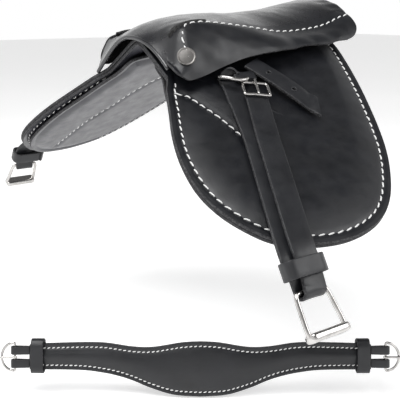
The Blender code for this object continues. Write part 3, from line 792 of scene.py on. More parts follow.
def make_flap(side):
    name = side.name
    outline = outline_of(FLAP_EDGE)
    face = ring_sheet(outline, INSETS, FILLS, side.place, flap_top, flap_bottom, EDGE_ROUND)
    flap = make_piece("flap_leather_" + name, face, SHEET)
    back = ring_sheet(outline, INSETS, FILLS, side.place, backing_top, backing_bottom, EDGE_ROUND)
    backing = make_piece("flap_backing_leather_" + name, back, LINING_SHEET)
    on_face, on_back = surface_of(face), surface_of(back)
    row = cut_line(inset_outline(FLAP_EDGE, STITCH_INSET), 53.0)
    front = stitch_shape(side.place(row, PLY), on_face, side.out, SEAM_PITCH, SEAM_DASH, 0.52, lean=0.4)
    knee_line = side_line(side, KNEE_SEAM, PLY + 1.0)
    knee = stitch_shape(knee_line, on_face, side.out, SEAM_PITCH, SEAM_DASH, 0.5, lean=0.3)
    behind = stitch_shape(side.place(row, -GAP - PLY), on_back, -side.out, SEAM_PITCH, 4.0, 0.42, lean=0.25)
    pieces = [make_piece("flap_stitches_" + name, front, (THREAD,)),
              make_piece("knee_stitches_" + name, knee, (THREAD,)),
              make_piece("flap_back_stitches_" + name, behind, (THREAD,)),
              make_piece("flap_mark_" + name, mark_shape(side, on_face), (LEATHER,))]
    for item in pieces:
        blend_flap(side, item, "leather")
    inner = np.repeat(INSETS + (DEEP_INSIDE,) * len(FILLS), len(outline))
    depth = np.zeros(len(face.array()))
    top_start = len(inner) + len(RIM_SHARES) * len(outline)
    depth[top_start:top_start + len(inner)] = inner
    from_seam = np.linalg.norm(face.array()[:, None, :] - knee_line[None, ::3, :], axis=2).min(axis=1)
    settle(flap, smooth((depth - STITCH_INSET - 0.8) / SETTLE_EASE) * smooth((from_seam - 2.5) / SETTLE_EASE))
    blend_flap(side, flap, "leather", "flap_" + name, "flap_padding_" + name, "knee_roll_" + name)
    blend_flap(side, backing, "lining", "flap_backing_" + name)


def make_panel(side):
    name = side.name
    body = ring_sheet(outline_of(PANEL_EDGE), PANEL_INSETS, FILLS, side.place, panel_top, panel_bottom,
                      EDGE_ROUND)
    panel = make_piece("sweat_panel_" + name, body, LINING_SHEET)
    surface = surface_of(body)
    middle = stitch_shape(side_line(side, PANEL_SEAM, PANEL_TOP - PLY), surface, -side.out, PANEL_PITCH,
                          4.2, 0.45, lean=0.3)
    rear = [p for p in cut_line(inset_outline(PANEL_EDGE, 2.6), 60.0) if p[0] < -40.0]
    edge = stitch_shape(side.place(np.array(rear), PANEL_TOP - PLY), surface, -side.out, PANEL_PITCH,
                        3.8, 0.4, lean=0.2)
    finish_piece(panel, "root", "lining", "panel_" + name)
    for label, shape in (("panel_stitches_", middle), ("panel_edge_stitches_", edge)):
        add_piece(label + name, shape, (THREAD,), "root", "lining")


BILLET_X, BILLET_DEPTH = -44.0, -4.05
BILLET_HOLES = (112.0, 124.0, 136.0, 148.0, 160.0)


def punch(item, places, axes, radius, depth):
    """Cut round holes through a piece, at points and along axes in millimetres."""
    work = bmesh.new()
    for place, axis in zip(places, axes):
        turn = Vector(axis).to_track_quat("Z", "Y").to_matrix().to_4x4()
        turn.translation = Vector(place * MM)
        bmesh.ops.create_cone(work, cap_ends=True, segments=18, radius1=radius * MM, radius2=radius * MM,
                              depth=depth * MM, matrix=turn)
    mesh = bpy.data.meshes.new(item.name + "_punch")
    work.to_mesh(mesh)
    work.free()
    mesh.materials.append(RAW_EDGE)
    cutter = bpy.data.objects.new(item.name + "_punch", mesh)
    bpy.context.scene.collection.objects.link(cutter)
    cut = item.modifiers.new("punch", "BOOLEAN")
    cut.operation, cut.object, cut.solver, cut.material_mode = "DIFFERENCE", cutter, "EXACT", "TRANSFER"
    bpy.context.view_layer.update()
    graph = bpy.context.evaluated_depsgraph_get()
    cut_mesh = bpy.data.meshes.new_from_object(item.evaluated_get(graph))
    item.modifiers.remove(cut)
    item.data = cut_mesh
    bpy.data.objects.remove(cutter, do_unlink=True)
    item.data.shade_smooth()
    item.data.set_sharp_from_angle(angle=radians(40))


def make_billet(side):
    s = np.linspace(44.0, 170.0, 50)
    centres = side.place(np.stack([np.full_like(s, BILLET_X), s], axis=1), BILLET_DEPTH)
    _, across, normals = frames_of(centres, np.broadcast_to(side.along, centres.shape))
    billet = make_piece("billet_strap_" + side.name, strap_shape(centres, across, normals, 14.0, 1.8), STRAP)
    places = [side.point(BILLET_X, hole, BILLET_DEPTH) for hole in BILLET_HOLES]
    punch(billet, places, [side.out] * len(places), 1.3, 6.0)
    finish_piece(billet, "root", "leather", "billet_" + side.name)


# ---------------------------------------------------------------- seat and skirts

SEAT_LOW, SEAT_HIGH = (vec(*corner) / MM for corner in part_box("seat_cover"))
SEAT_FRONT, SEAT_REAR, SEAT_HALF = SEAT_HIGH[0], SEAT_LOW[0], SEAT_HIGH[1]
SEAT_PLY = 2.0
LIP_RADIUS, WELT_RADIUS = 1.55, 1.3  # rolled edges at the front and the back of the seat
CANTLE_DEPTH = 7.0
DROOP = 9.0  # how far the seat's right front edge has sagged
CROWN_HEIGHT = curve_table(((-106, 38.2), (-95, 37.0), (-75, 33.5), (-45, 28.5), (-15, 26.0), (15, 26.0),
                            (40, 24.3), (55, 21.5), (67, 17.0), (80, 10.0)))
SEAM_HEIGHT = curve_table(((-106, 24.3), (-90, 22.0), (-70, 15.5), (-49, 12.5), (-23, 11.5), (0, 14.5),
                           (25, 17.5), (50, 19.5), (64, 17.0), (69, 12.5), (74, 2.0), (80, -13.0)))


def seat_height(x, y):
    crown, seam = CROWN_HEIGHT(x), SEAM_HEIGHT(x)
    sag = DROOP * smooth((-y - 2.0) / 46.0) * smooth((x + 30.0) / 90.0)
    return crown - (crown - seam) * (np.abs(y) / SEAT_HALF) ** 2.2 - sag


def cantle_x(y):
    return SEAT_REAR + CANTLE_DEPTH * (np.abs(y) / SEAT_HALF) ** 3


def seat_plan(columns, rows):
    """Plan positions over the seat, closer together at its edges."""
    u = 0.5 - 0.5 * np.cos(np.linspace(0.0, pi, columns))
    v = 0.5 - 0.5 * np.cos(np.linspace(0.0, pi, rows))
    y = np.broadcast_to(SEAT_HALF * (2.0 * v - 1.0), (columns, rows))
    rear = cantle_x(y)
    x = SEAT_FRONT + (rear - SEAT_FRONT) * u[:, None]
    return x, y


SEAT_COLUMNS, SEAT_ROWS = 110, 70


def seat_top():
    x, y = seat_plan(SEAT_COLUMNS, SEAT_ROWS)
    flat = np.stack([x.ravel(), y.ravel()], axis=1)
    folds = 0.35 * wobble(flat * vec(1.0, 0.45), 30.0, 21) + 0.15 * wobble(flat, 12.0, 22)
    height = seat_height(x, y)
    soft = smooth((SEAT_HALF - np.abs(y)) / 8.0) * smooth((SEAT_FRONT - x) / 10.0)
    rim = 0.8 * hump(x - cantle_x(y), 5.0)
    return np.stack([x, y, height + folds.reshape(x.shape) * soft + rim], axis=2)


def make_seat():
    top = seat_top()
    shape = grid_sheet(top, top - grid_up(top) * SEAT_PLY, 0.5)
    cover = make_piece("seat_leather", shape, SEAT_SHEET)
    x, y = top[..., 0].ravel(), top[..., 1].ravel()
    free = np.zeros(len(shape.array()))
    inside = smooth((SEAT_HALF - 3.0 - np.abs(y)) / 8.0) * smooth((SEAT_FRONT - 4.0 - x) / 10.0)
    free[:len(x)] = inside * smooth((x - cantle_x(y) - 5.0) / 10.0)
    settle(cover, free)
    finish_piece(cover, "root", "leather", "seat_cover")
    across = np.linspace(-SEAT_HALF + 0.5, SEAT_HALF - 0.5, 90)
    front = np.full_like(across, SEAT_FRONT)
    lip = np.stack([front - 0.6, across, seat_height(front, across) - 1.1], axis=1)
    add_piece("seat_front_lip", rounded_bar(lip, LIP_RADIUS), (SEAT_LEATHER,), "root", "leather")
    make_seat_foam()
    make_cantle()
    make_pommel_plies()


def grid_up(top):
    """Normals of a grid of points, turned to point up."""
    normals = grid_normals(top)
    return normals * np.where(normals[..., 2:] < 0.0, -1.0, 1.0)


def make_seat_foam():
    low, high = (vec(*corner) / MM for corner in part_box("seat_padding"))
    outline = [(high[0], 0.0), (high[0] - 2, 24), (high[0] - 8, 38), (high[0] - 22, 42), (0, 42),
               (low[0] + 34, 42), (low[0] + 16, 39), (low[0] + 4, 26), (low[0], 0.0)]
    outline += [(x, -y) for x, y in reversed(outline[1:-1])]
    plan = resample(spline(outline, 6, closed=True), 4.0, closed=True)

    def place(xs, heights):
        return np.column_stack([xs, heights])

    def top(xs, d):
        return seat_height(xs[:, 0], xs[:, 1]) - SEAT_PLY - 0.8 - 1.5 * (1.0 - smooth(d / 5.0))

    def bottom(xs, d):
        return np.minimum(side_height(xs) + 7.2, top(xs, d) - 0.5)

    shape = ring_sheet(plan, (0.0, 1.0, 2.5, 5.0), np.linspace(0.0, 1.0, 12)[1:-1], place, top, bottom, 0.4)
    foam = make_piece("seat_foam", shape, (FOAM, FOAM, FOAM))
    finish_piece(foam, "root", "foam", "seat_padding")


RIDGE_TOP, RIDGE_SPREAD, RIDGE_SOFTNESS = 7.5, 356.0, 4.0


def side_height(xs):
    """Height of the middle layer of the two sides at plan positions, rounded over the ridge."""
    side = SIDE["L"]
    ridge = side.point(0.0, 0.0, 0.0)
    plane = ridge[2] - (side.out[0] * (xs[:, 0] - ridge[0]) + side.out[1] * np.abs(xs[:, 1])) / side.out[2]
    arch = RIDGE_TOP - xs[:, 1] ** 2 / RIDGE_SPREAD
    softness = RIDGE_SOFTNESS
    share = np.clip(0.5 + 0.5 * (arch - plane) / softness, 0.0, 1.0)
    return arch * (1.0 - share) + plane * share - softness * share * (1.0 - share)


def make_cantle():
    """The leather wall that closes the back of the seat, under a welt."""
    columns, rows = 60, 14
    y = np.linspace(-SEAT_HALF + 4.0, SEAT_HALF - 4.0, columns)[:, None] * np.ones((1, rows))
    fall = np.linspace(0.0, 1.0, rows)[None, :]
    rear = cantle_x(y)
    high = seat_height(rear, y) - SEAT_PLY - 0.6
    low = 9.0
    x = rear + 0.4 + 2.2 * fall - 1.4 * np.sin(pi * fall)
    wall = np.stack([x, y, high + (low - high) * fall], axis=2)
    inner = wall + vec(1.6, 0.0, 0.0)
    shape = grid_sheet(wall, inner, 0.3)
    add_piece("cantle_leather", shape, SHEET, "root", "leather", "cantle_panel")
    surface = surface_of(shape)
    line = wall[2:-2, 3]
    stitches = stitch_shape(line, surface, vec(-1.0, 0.0, 0.0), 7.4, 5.2, 0.5, lean=0.3)
    add_piece("cantle_stitches", stitches, (THREAD,), "root", "leather")
    across = np.linspace(-SEAT_HALF + 3.0, SEAT_HALF - 3.0, 70)
    back = cantle_x(across)
    welt = np.stack([back - 0.2, across, seat_height(back, across) - SEAT_PLY - 0.2], axis=1)
    add_piece("cantle_welt", rounded_bar(welt, WELT_RADIUS), (LEATHER,), "root", "leather")


def make_pommel_plies():
    """The plies of both sides meeting over the ridge, in front of the tree."""
    tree_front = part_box("tree")[1][0] / MM
    for label, low, high, front, sheet in (("facing", 0.1, PLY, 71.5, SHEET),
                                           ("backing", -GAP - PLY, -GAP, 71.0, LINING_SHEET)):
        x = np.linspace(tree_front + 1.0, front, 12)[:, None] * np.ones((1, 61))
        y = np.linspace(-44.0, 44.0, 61)[None, :] * np.ones((12, 1))
        x = x + 1.5 * (np.abs(y) / 44.0) ** 2 * (x - tree_front) / 16.0
        middle = side_height(np.stack([x.ravel(), y.ravel()], axis=1)).reshape(x.shape)
        sheet_middle = np.stack([x, y, middle], axis=2)
        up = grid_up(sheet_middle)
        shape = grid_sheet(sheet_middle + up * high, sheet_middle + up * low, 0.5)
        slot = "leather" if label == "facing" else "lining"
        add_piece("pommel_ply_" + label, shape, sheet, "root", slot, "pommel_" + label)


SKIRT_AXIS = vec(*JOINTS["skirt_lift_L"]["pos_m"]) / MM
SKIRT_LOW_Y = curve_table(((-74, 66.5), (-31, 69.0), (-3, 69.0), (29, 67.5), (50, 67.5), (72, 67.0),
                           (80, 65.0)))
SKIRT_LOW_Z = curve_table(((-74, 7.0), (-62, 5.5), (-50, 4.2), (-40, 4.6), (-33, 4.0), (-22, 2.4), (-8, 1.6),
                           (10, -0.6), (29, -4.2), (46, -9.0), (60, -13.6), (70, -15.8), (76, -14.0),
                           (80, -11.5)))
SKIRT_COLUMNS = 120
SKIRT_FRONT, SKIRT_REAR = 80.5, -97.0
SAGGED_FRONT = 68.0  # front of the right skirt, under the sagged corner of the seat
SKIRT_EDGE_Y, SKIRT_SEAM_Y = 41.0, 51.2
SKIRT_SPAN_ROWS = 9
SKIRT_LIE, SEAM_LIE = 0.5, 1.0  # heights above the seat at the skirt's edge and over its rim
FRONT_CORNER = curve_table(((0.0, 13.0), (0.08, 8.0), (0.2, 3.0), (0.35, 1.0), (0.6, 0.5), (0.8, 1.8),
                            (0.92, 4.5), (1.0, 9.0)))
REAR_CORNER = curve_table(((0.0, 0.0), (0.3, 0.0), (0.6, 3.0), (0.85, 9.0), (1.0, 17.0)))


def skirt_surface(sign):
    """Outer face of a skirt, from its edge on the seat over the seam to its free lower edge."""
    rows = 4 * SKIRT_SPAN_ROWS + 1
    u = (np.linspace(0.0, 1.0, SKIRT_COLUMNS) ** 1.25)[:, None]
    fall = np.linspace(0.0, 1.0, rows)[None, :]
    front = (SKIRT_FRONT if sign > 0 else SAGGED_FRONT) - FRONT_CORNER(fall)
    x = front + (SKIRT_REAR + REAR_CORNER(fall) - front) * u
    edge_z = seat_height(np.minimum(x, 78.0), SKIRT_EDGE_Y * sign) + SKIRT_LIE
    seam_z = seat_height(np.minimum(x, 77.0), SEAT_HALF * sign) + SEAM_LIE
    low_y, low_z = SKIRT_LOW_Y(x), np.minimum(SKIRT_LOW_Z(x), seam_z - 2.0)
    drop, flare = seam_z - low_z, low_y - SKIRT_SEAM_Y
    guides = np.stack([np.stack([np.full_like(x, SKIRT_EDGE_Y), edge_z], axis=2),
                       np.stack([np.full_like(x, SKIRT_SEAM_Y), seam_z], axis=2),
                       np.stack([SKIRT_SEAM_Y + flare * 0.45 + 1.6, seam_z - drop * 0.36], axis=2),
                       np.stack([SKIRT_SEAM_Y + flare * 0.8 + 1.0, seam_z - drop * 0.72], axis=2),
                       np.stack([low_y, low_z], axis=2)])
    dense = spline(guides.reshape(5, -1), SKIRT_SPAN_ROWS).reshape(rows, SKIRT_COLUMNS, rows, 2)
    row = np.arange(rows)
    sheet = np.concatenate([x[..., None], dense[row, :, row].swapaxes(0, 1)], axis=2)
    flat = sheet.reshape(-1, 3)
    free = smooth((flat[:, 1] - 52.0) / 8.0)
    flat[:, 1] += free * (0.9 * wobble(flat[:, :2] * vec(1.0, 0.3), 46.0, 31)
                          + 0.35 * wobble(flat, 17.0, 32))
    return flat.reshape(sheet.shape)


def make_skirt(side):
    name, sign = side.name, side.sign
    flip = vec(1.0, sign, 1.0)
    top = skirt_surface(sign)
    normals = grid_normals(top)
    normals *= np.where(normals[..., 1:2] < 0.0, -1.0, 1.0)
    shape = grid_sheet(top * flip, (top - normals * 1.6) * flip, 0.35)
    skirt = make_piece("skirt_leather_" + name, shape, SHEET)
    surface = surface_of(shape)
    seam_row = SKIRT_SPAN_ROWS - 2
    corner = top[13, seam_row + 5:25:4][::-1]
    line = resample(spline(np.vstack([corner, top[17::6, seam_row]]), 6), 1.0)
    threads = stitch_shape(line * flip, surface, vec(0.0, sign, 0.6), SEAM_PITCH, SEAM_DASH, 0.52,
                           lean=0.35)
    stitches = make_piece("skirt_stitches_" + name, threads, (THREAD,))
    rivet = make_rivet(side, surface)
    for item, slot, nodes in ((skirt, "leather", ("skirt_" + name,)), (stitches, "leather", ())):
        if nodes:
            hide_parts(*nodes)
        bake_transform(item)
    finish_piece(rivet, "skirt_" + name, "steel", "skirt_rivet_" + name)


def disc_stack(centre, axis, profile, sides):
    """A turned shape: (radius, height) pairs round an axis."""
    aside = unit(np.cross(axis, vec(0.3, 1.0, 0.2)))
    other = np.cross(axis, aside)
    offsets = ring_offsets(sides, aside, other)
    rings = [centre + axis * height + radius * offsets for radius, height in profile]
    return loft(rings, lambda r, i: 0)


RIVET_SIDES = 40
RIVET_SHIFT = vec(5.0, 0.0, -1.5)    # from the CAD rivet to where the left one lies
SAGGED_SHIFT = vec(-9.0, 0.0, -5.0)  # the same for the right one, on the skirt that is set back


def make_rivet(side, surface):
    """A capped rivet: low dome, rolled rim and a shallow ring."""
    low, high = (vec(*corner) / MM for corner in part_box("skirt_rivet_" + side.name))
    shift = RIVET_SHIFT if side.sign > 0 else SAGGED_SHIFT
    place, normal, _, _ = surface.find_nearest(Vector((low + high) / 2.0 + shift))
    normal = np.array(normal)
    if normal[1] * side.sign < 0:
        normal = -normal
    profile = ((5.6, -0.2), (6.3, 0.1), (6.45, 0.5), (6.2, 0.95), (5.6, 1.05), (5.1, 0.8), (4.9, 0.55),
               (3.0, 0.7), (1.4, 0.8), (0.4, 0.82))
    cap = disc_stack(np.array(place), unit(normal), profile, RIVET_SIDES)
    return make_piece("skirt_rivet_cap_" + side.name, cap, (DULL_STEEL,))


# ---------------------------------------------------------------- stirrup leathers and irons

BAR_PLACE = (-36.0, 76.5, 9.2)
STRAP_ROUTE = (BAR_PLACE, (-29.9, 96.7, 8.0), (-11.5, 135.5, 8.0), (24.0, 207.5, 7.8))
STRAP_SPREAD = (4.5, 6.0, 3.6, 3.4, 3.8, 0.8)  # each run lies this far to one side, at each guide
KEEPER_CENTRE = sum(vec(*corner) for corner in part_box("stirrup_keeper_L")) / 2.0 / MM
FOLD_CENTRE = vec(*JOINTS["stirrup_iron_swing_L"]["pos_m"]) / MM
STRAP_WIDTH, STRAP_PLY, STRAP_MIDDLE = 15.5, 2.4, 1.6
WIRE_RADIUS = 1.5
STRAP_AROUND = WIRE_RADIUS + GAP + STRAP_PLY / 2.0
STRAP_STEPS = 14
BAR_HALF = 13.0
BAR_BOW = ((13.0, 0.4, 0.0), (14.2, 2.6, 2.6), (12.6, 5.2, 5.6), (9.0, 6.4, 8.2), (4.5, 6.6, 9.6),
           (0.0, 6.4, 9.4), (-3.5, 5.8, 7.4))  # the bright arc: along the bar, out, and down the strap


class StrapLine:
    """Middle line of a folded stirrup leather, with its frames and how its two runs stand apart."""

    def __init__(self, side):
        flip = vec(1.0, side.sign, 1.0)
        guides = [side.point(*point) for point in STRAP_ROUTE] + [KEEPER_CENTRE * flip, FOLD_CENTRE * flip]
        self.points = spline(guides, STRAP_STEPS)
        heading = unit(guides[2] - guides[0])
        top = unit(np.cross(heading, side.out))
        top = top if top[0] > 0 else -top
        count = len(self.points)
        share = np.arange(count) / (count - 1)
        twist = np.clip((share - 0.5) / 0.3, 0.0, 1.0)[:, None]
        self.across = unit(lerp(top, vec(1.0, 0.0, 0.0), twist))
        self.tangents = unit(np.gradient(self.points, axis=0))
        self.normals = unit(np.cross(self.tangents, self.across))
        if self.normals[0] @ side.out < 0:
            self.normals = -self.normals
        k = np.arange(count) / STRAP_STEPS
        ends = np.maximum(0.0, np.maximum(1.0 - k / 0.6, 1.0 - (k[-1] - k) / 0.8))
        self.lift = STRAP_MIDDLE + (STRAP_AROUND - STRAP_MIDDLE) * smooth(ends)
        self.spread = np.interp(k, np.arange(len(STRAP_SPREAD)), STRAP_SPREAD)


def make_stirrup_leather(side, line):
    rise = line.normals * line.lift[:, None] - line.across * line.spread[:, None]
    skip = STRAP_STEPS
    front, back = line.points[skip:] + rise[skip:], (line.points - rise)[::-1]
    low, outward, along = line.points[-1], line.normals[-1], line.tangents[-1]
    angle = np.linspace(0.0, pi, 16)[1:-1, None]
    fold = (low + (outward * np.cos(angle) + along * np.sin(angle)) * STRAP_AROUND
            - line.across[-1] * line.spread[-1] * np.cos(angle))
    high, up, ahead = line.points[0], line.normals[0], line.tangents[0]
    loop = (high - (up * np.cos(angle) + ahead * np.sin(angle)) * STRAP_AROUND
            + line.across[0] * line.spread[0] * np.cos(angle))
    end = [loop[-1] + ahead * 3.0, loop[-1] + ahead * 6.0]
    centres = np.vstack([front, fold, back, loop, end])
    hints = np.vstack([line.across[skip:], np.repeat(line.across[-1:], len(fold), axis=0),
                       line.across[::-1], np.repeat(line.across[:1], len(loop) + 2, axis=0)])
    _, across, normals = frames_of(centres, hints)
    strap = strap_shape(centres, across, normals, STRAP_WIDTH, STRAP_PLY)
    body = "leather_" + side.name
    add_piece("stirrup_strap_" + side.name, strap, STRAP, body, "leather", "stirrup_leather_" + side.name)
    bar = [high + line.across[0] * reach for reach in np.linspace(-BAR_HALF, BAR_HALF, 9)]
    rod = rounded_bar(bar, WIRE_RADIUS * 0.98)
    bow = [high + line.across[0] * a + up * h + ahead * d for a, h, d in BAR_BOW]
    curve = rounded_bar(resample(spline(bow, 8), 0.8), WIRE_RADIUS * 0.9, hint=side.out)
    rod.add(curve.array(), curve.faces, 0)
    add_piece("stirrup_bar_rod_" + side.name, rod, (STEEL,), body, "steel", "stirrup_bar_" + side.name)


def on_side(side, start, heading, t, b, h):
    """A point t along a heading laid flat on a side, b to its right and h out of the side."""
    x, s = vec(*start) + heading * t + vec(heading[1], -heading[0]) * b
    flat = side.pivot + (x - HINGE_X) * side.along + (s - HINGE_S) * side.down
    return flat + (h + 1.0 - HINGE_H - bulge(HINGE_S)) * side.out


TAIL_START, TAIL_HEADING = (-53.5, 69.0), unit(vec(-0.28, 0.96))
TAIL_LENGTH, TAIL_WIDTH, TAIL_PLY = 59.0, 15.0, 2.2
TAIL_HOLES = (15.5, 37.5)
TAIL_SLANT = 0.85   # how far the cut end is out of square


def make_tail(side):
    """The strap's free end: two punched holes with pressed-up rims, and a slanted cut that curls up."""
    t = np.linspace(0.0, TAIL_LENGTH, 60)
    height = 12.6 - 0.10 * np.maximum(0.0, t / 7.4 - 2.0) ** 2 + 1.6 * smooth((t - 50.0) / 9.0)
    centres = np.array([on_side(side, TAIL_START, TAIL_HEADING, a, 0.0, h) for a, h in zip(t, height)])
    aside = (on_side(side, TAIL_START, TAIL_HEADING, 0.0, 1.0, 0.0)
             - on_side(side, TAIL_START, TAIL_HEADING, 0.0, 0.0, 0.0))
    heading = unit(centres[-1] - centres[0])
    slant = TAIL_SLANT * smooth((t - 30.0) / 29.0)[:, None]
    _, across, normals = frames_of(centres, np.broadcast_to(aside, centres.shape))
    across = across + heading * slant
    tail = make_piece("strap_tail_" + side.name,
                      strap_shape(centres, across, normals, TAIL_WIDTH, TAIL_PLY, corner=0.5), STRAP)
    holes = [on_side(side, TAIL_START, TAIL_HEADING, place, 0.0, 12.0) for place in TAIL_HOLES]
    punch(tail, holes, [side.out] * 2, 1.4, 8.0)
    tail.name = "strap_tail_leather_" + side.name
    finish_piece(tail, "leather_" + side.name, "leather", "strap_tail_" + side.name)
    rims = Shape()
    angle = np.linspace(0.0, 2.0 * pi, 25)[:-1]
    for hole in TAIL_HOLES:
        top = np.interp(hole, t, height) + TAIL_PLY / 2.0 + 0.12
        ring = [on_side(side, TAIL_START, TAIL_HEADING, hole + 1.9 * cos(a), 1.9 * sin(a), top) for a in angle]
        rim = tube(ring, 0.45, True, 8, hint=side.out)
        rims.add(rim.array(), rim.faces, 0)
    add_piece("strap_hole_rims_" + side.name, rims, (STRAP_LEATHER,), "leather_" + side.name, "leather")


HEEL_BAR, BUCKLE_HEADING, BUCKLE_HEIGHT = (-34.7, 100.5), unit(vec(-0.46, -0.888)), 13.2
BUCKLE_LOOP = ((0, -8.2), (0.3, 0), (0, 8.2), (0.9, 8.8), (6, 8.9), (11.4, 8.6), (12.5, 7), (12.6, 0),
               (12.5, -7), (11.4, -8.6), (6, -8.9), (0.9, -8.8))


def make_strap_buckle(side):
    corners = [on_side(side, HEEL_BAR, BUCKLE_HEADING, t, b, BUCKLE_HEIGHT) for t, b in BUCKLE_LOOP]
    loop = resample(spline(corners, 6, closed=True), 1.0, closed=True)
    ring = tube(loop, 1.0, True, hint=side.out)
    add_piece("strap_buckle_frame_" + side.name, ring, (STEEL,), "leather_" + side.name, "steel",
              "strap_buckle_" + side.name)
    prong = [on_side(side, HEEL_BAR, BUCKLE_HEADING, t, 0.0, BUCKLE_HEIGHT + 2.1)
             for t in np.linspace(-0.8, 14.0, 12)]
    pin = rounded_bar(prong, 0.85, hint=side.out)
    add_piece("strap_prong_pin_" + side.name, pin, (STEEL,), "prong_" + side.name, "steel",
              "strap_prong_" + side.name)


BAND_CORNER, BAND_LAP = 3.8, 9


def band_shape(centre, across, tangent, normal, half_width, half_height, wall, length):
    """A leather loop round a strap. Its end laps over its start on the narrow side."""
    path = []
    section, _ = rounded_section(half_width, half_height, BAND_CORNER)
    loop = resample(np.column_stack([section, np.zeros(len(section))]), 0.8, closed=True)[:, :2]
    start = int(np.argmin(np.abs(loop[:, 1]) + (loop[:, 0] > 0) * 100.0))
    loop = np.roll(loop, -start, axis=0)
    for k in range(len(loop) + BAND_LAP):
        a, b = loop[k % len(loop)]
        reach = wall * 1.05 * smooth((k - len(loop) + 6) / 6.0)
        outward = unit(vec(a * half_height, b * half_width) + 1e-6)
        path.append(centre + across * (a + outward[0] * reach) + normal * (b + outward[1] * reach))
    path = np.array(path)
    _, width, normals = frames_of(path, np.broadcast_to(tangent, path.shape))
    return strap_shape(path, width, normals, length, wall, corner=0.5, crown=0.0)


def make_keeper(side, line):
    flip = vec(1.0, side.sign, 1.0)
    index = int(np.argmin(np.linalg.norm(line.points - KEEPER_CENTRE * flip, axis=1)))
    shape = band_shape(KEEPER_CENTRE * flip, line.across[index], line.tangents[index], line.normals[index],
                       13.2, 5.4, 1.7, 10.5)
    add_piece("keeper_loop_" + side.name, shape, STRAP, "keeper_" + side.name, "leather",
              "stirrup_keeper_" + side.name)


IRON_LOOP = ((-9.2, 0.0), (0.0, -0.1), (9.2, 0.0), (11.2, 1.6), (12.1, 6.0), (12.8, 13.0), (13.4, 20.0),
             (12.8, 23.6), (10.0, 24.5), (0.0, 24.5), (-10.0, 24.5), (-12.8, 23.6), (-13.4, 20.0),
             (-12.8, 13.0), (-12.1, 6.0), (-11.2, 1.6))
IRON_DOWN, TREAD_DEPTH = unit(vec(0.0, 0.61, -0.79)), 24.5
TREAD_HALVES = (14.8, 4.4, 2.5)


def make_iron(side, line):
    """A stirrup iron: a bent oval bar, widening to a thick tread with rounded ends."""
    top, across, down = line.points[-1], vec(1.0, 0.0, 0.0), IRON_DOWN * vec(1.0, side.sign, 1.0)
    out = np.cross(down, across)
    loop = [top + across * a + down * d for a, d in IRON_LOOP]
    arms = tube(resample(spline(loop, 6, closed=True), 1.0, closed=True), WIRE_RADIUS, True, hint=out)
    section, _ = rounded_section(TREAD_HALVES[1], TREAD_HALVES[2], 1.6, crown=0.25)
    rings = []
    for place in np.linspace(-1.0, 1.0, 41):
        round_end = (1.0 - abs(place) ** 16) ** 0.5 * 0.94 + 0.06
        rings.append(np.array([top + across * place * TREAD_HALVES[0] + out * a * round_end
                               + down * (TREAD_DEPTH + b * round_end) for a, b in section]))
    tread = loft(rings, lambda r, i: 0)
    shape = Shape()
    shape.add(arms.array(), arms.faces, 0)
    shape.add(tread.array(), tread.faces, 0)
    add_piece("stirrup_iron_bar_" + side.name, shape, (STEEL,), "iron_" + side.name, "steel",
              "stirrup_iron_" + side.name)


# ---------------------------------------------------------------- girth

GIRTH_ALONG = unit(vec(*JOINTS["girth_travel"]["axis"]))
GIRTH_UP = unit(vec(*JOINTS["girth_buckle_swing_front"]["axis"]))
GIRTH_FACE = np.cross(GIRTH_ALONG, GIRTH_UP)
GIRTH_PINS = [vec(*JOINTS["girth_buckle_swing_" + end]["pos_m"]) / MM for end in ("front", "rear")]
GIRTH_MIDDLE = 3.4      # height of the buckles above the girth's centre line
GIRTH_PIN_DEPTH = 1.05
GIRTH_PIN_REACH = 11.5  # from the end of the leather to a buckle's pin
GIRTH_CENTRE = (GIRTH_PINS[0] + GIRTH_PINS[1]) / 2.0 - GIRTH_UP * GIRTH_MIDDLE - GIRTH_FACE * GIRTH_PIN_DEPTH
GIRTH_HALF = np.linalg.norm(GIRTH_PINS[1] - GIRTH_PINS[0]) / 2.0 - GIRTH_PIN_REACH
GIRTH_TOP = curve_table(((0, 14.4), (14, 13.6), (36, 10.2), (52, 10.6), (74, 13.6), (100, 13.6), (130, 12.6)))
GIRTH_BOTTOM = curve_table(((0, -26.4), (20, -25.0), (38, -19.6), (50, -14.6), (61, -11.0), (74, -8.2),
                            (92, -6.2), (130, -5.8)))
GIRTH_INSET, GIRTH_PITCH = 3.0, 3.6


def girth_point(u, v, h):
    u, v, h = (np.asarray(n, float)[..., None] for n in (u, v, h))
    return GIRTH_CENTRE + GIRTH_ALONG * u + GIRTH_UP * v + GIRTH_FACE * h


def girth_grid(columns, rows):
    """Places (u, v) over the girth, closer together at its long edges, and their distance from them."""
    u = np.linspace(-GIRTH_HALF, GIRTH_HALF, columns)[:, None] * np.ones((1, rows))
    share = (0.5 - 0.5 * np.cos(np.linspace(0.0, pi, rows)))[None, :]
    high, low = GIRTH_TOP(np.abs(u)), GIRTH_BOTTOM(np.abs(u))
    v = low + (high - low) * share
    return u, v, np.minimum(high - v, v - low)


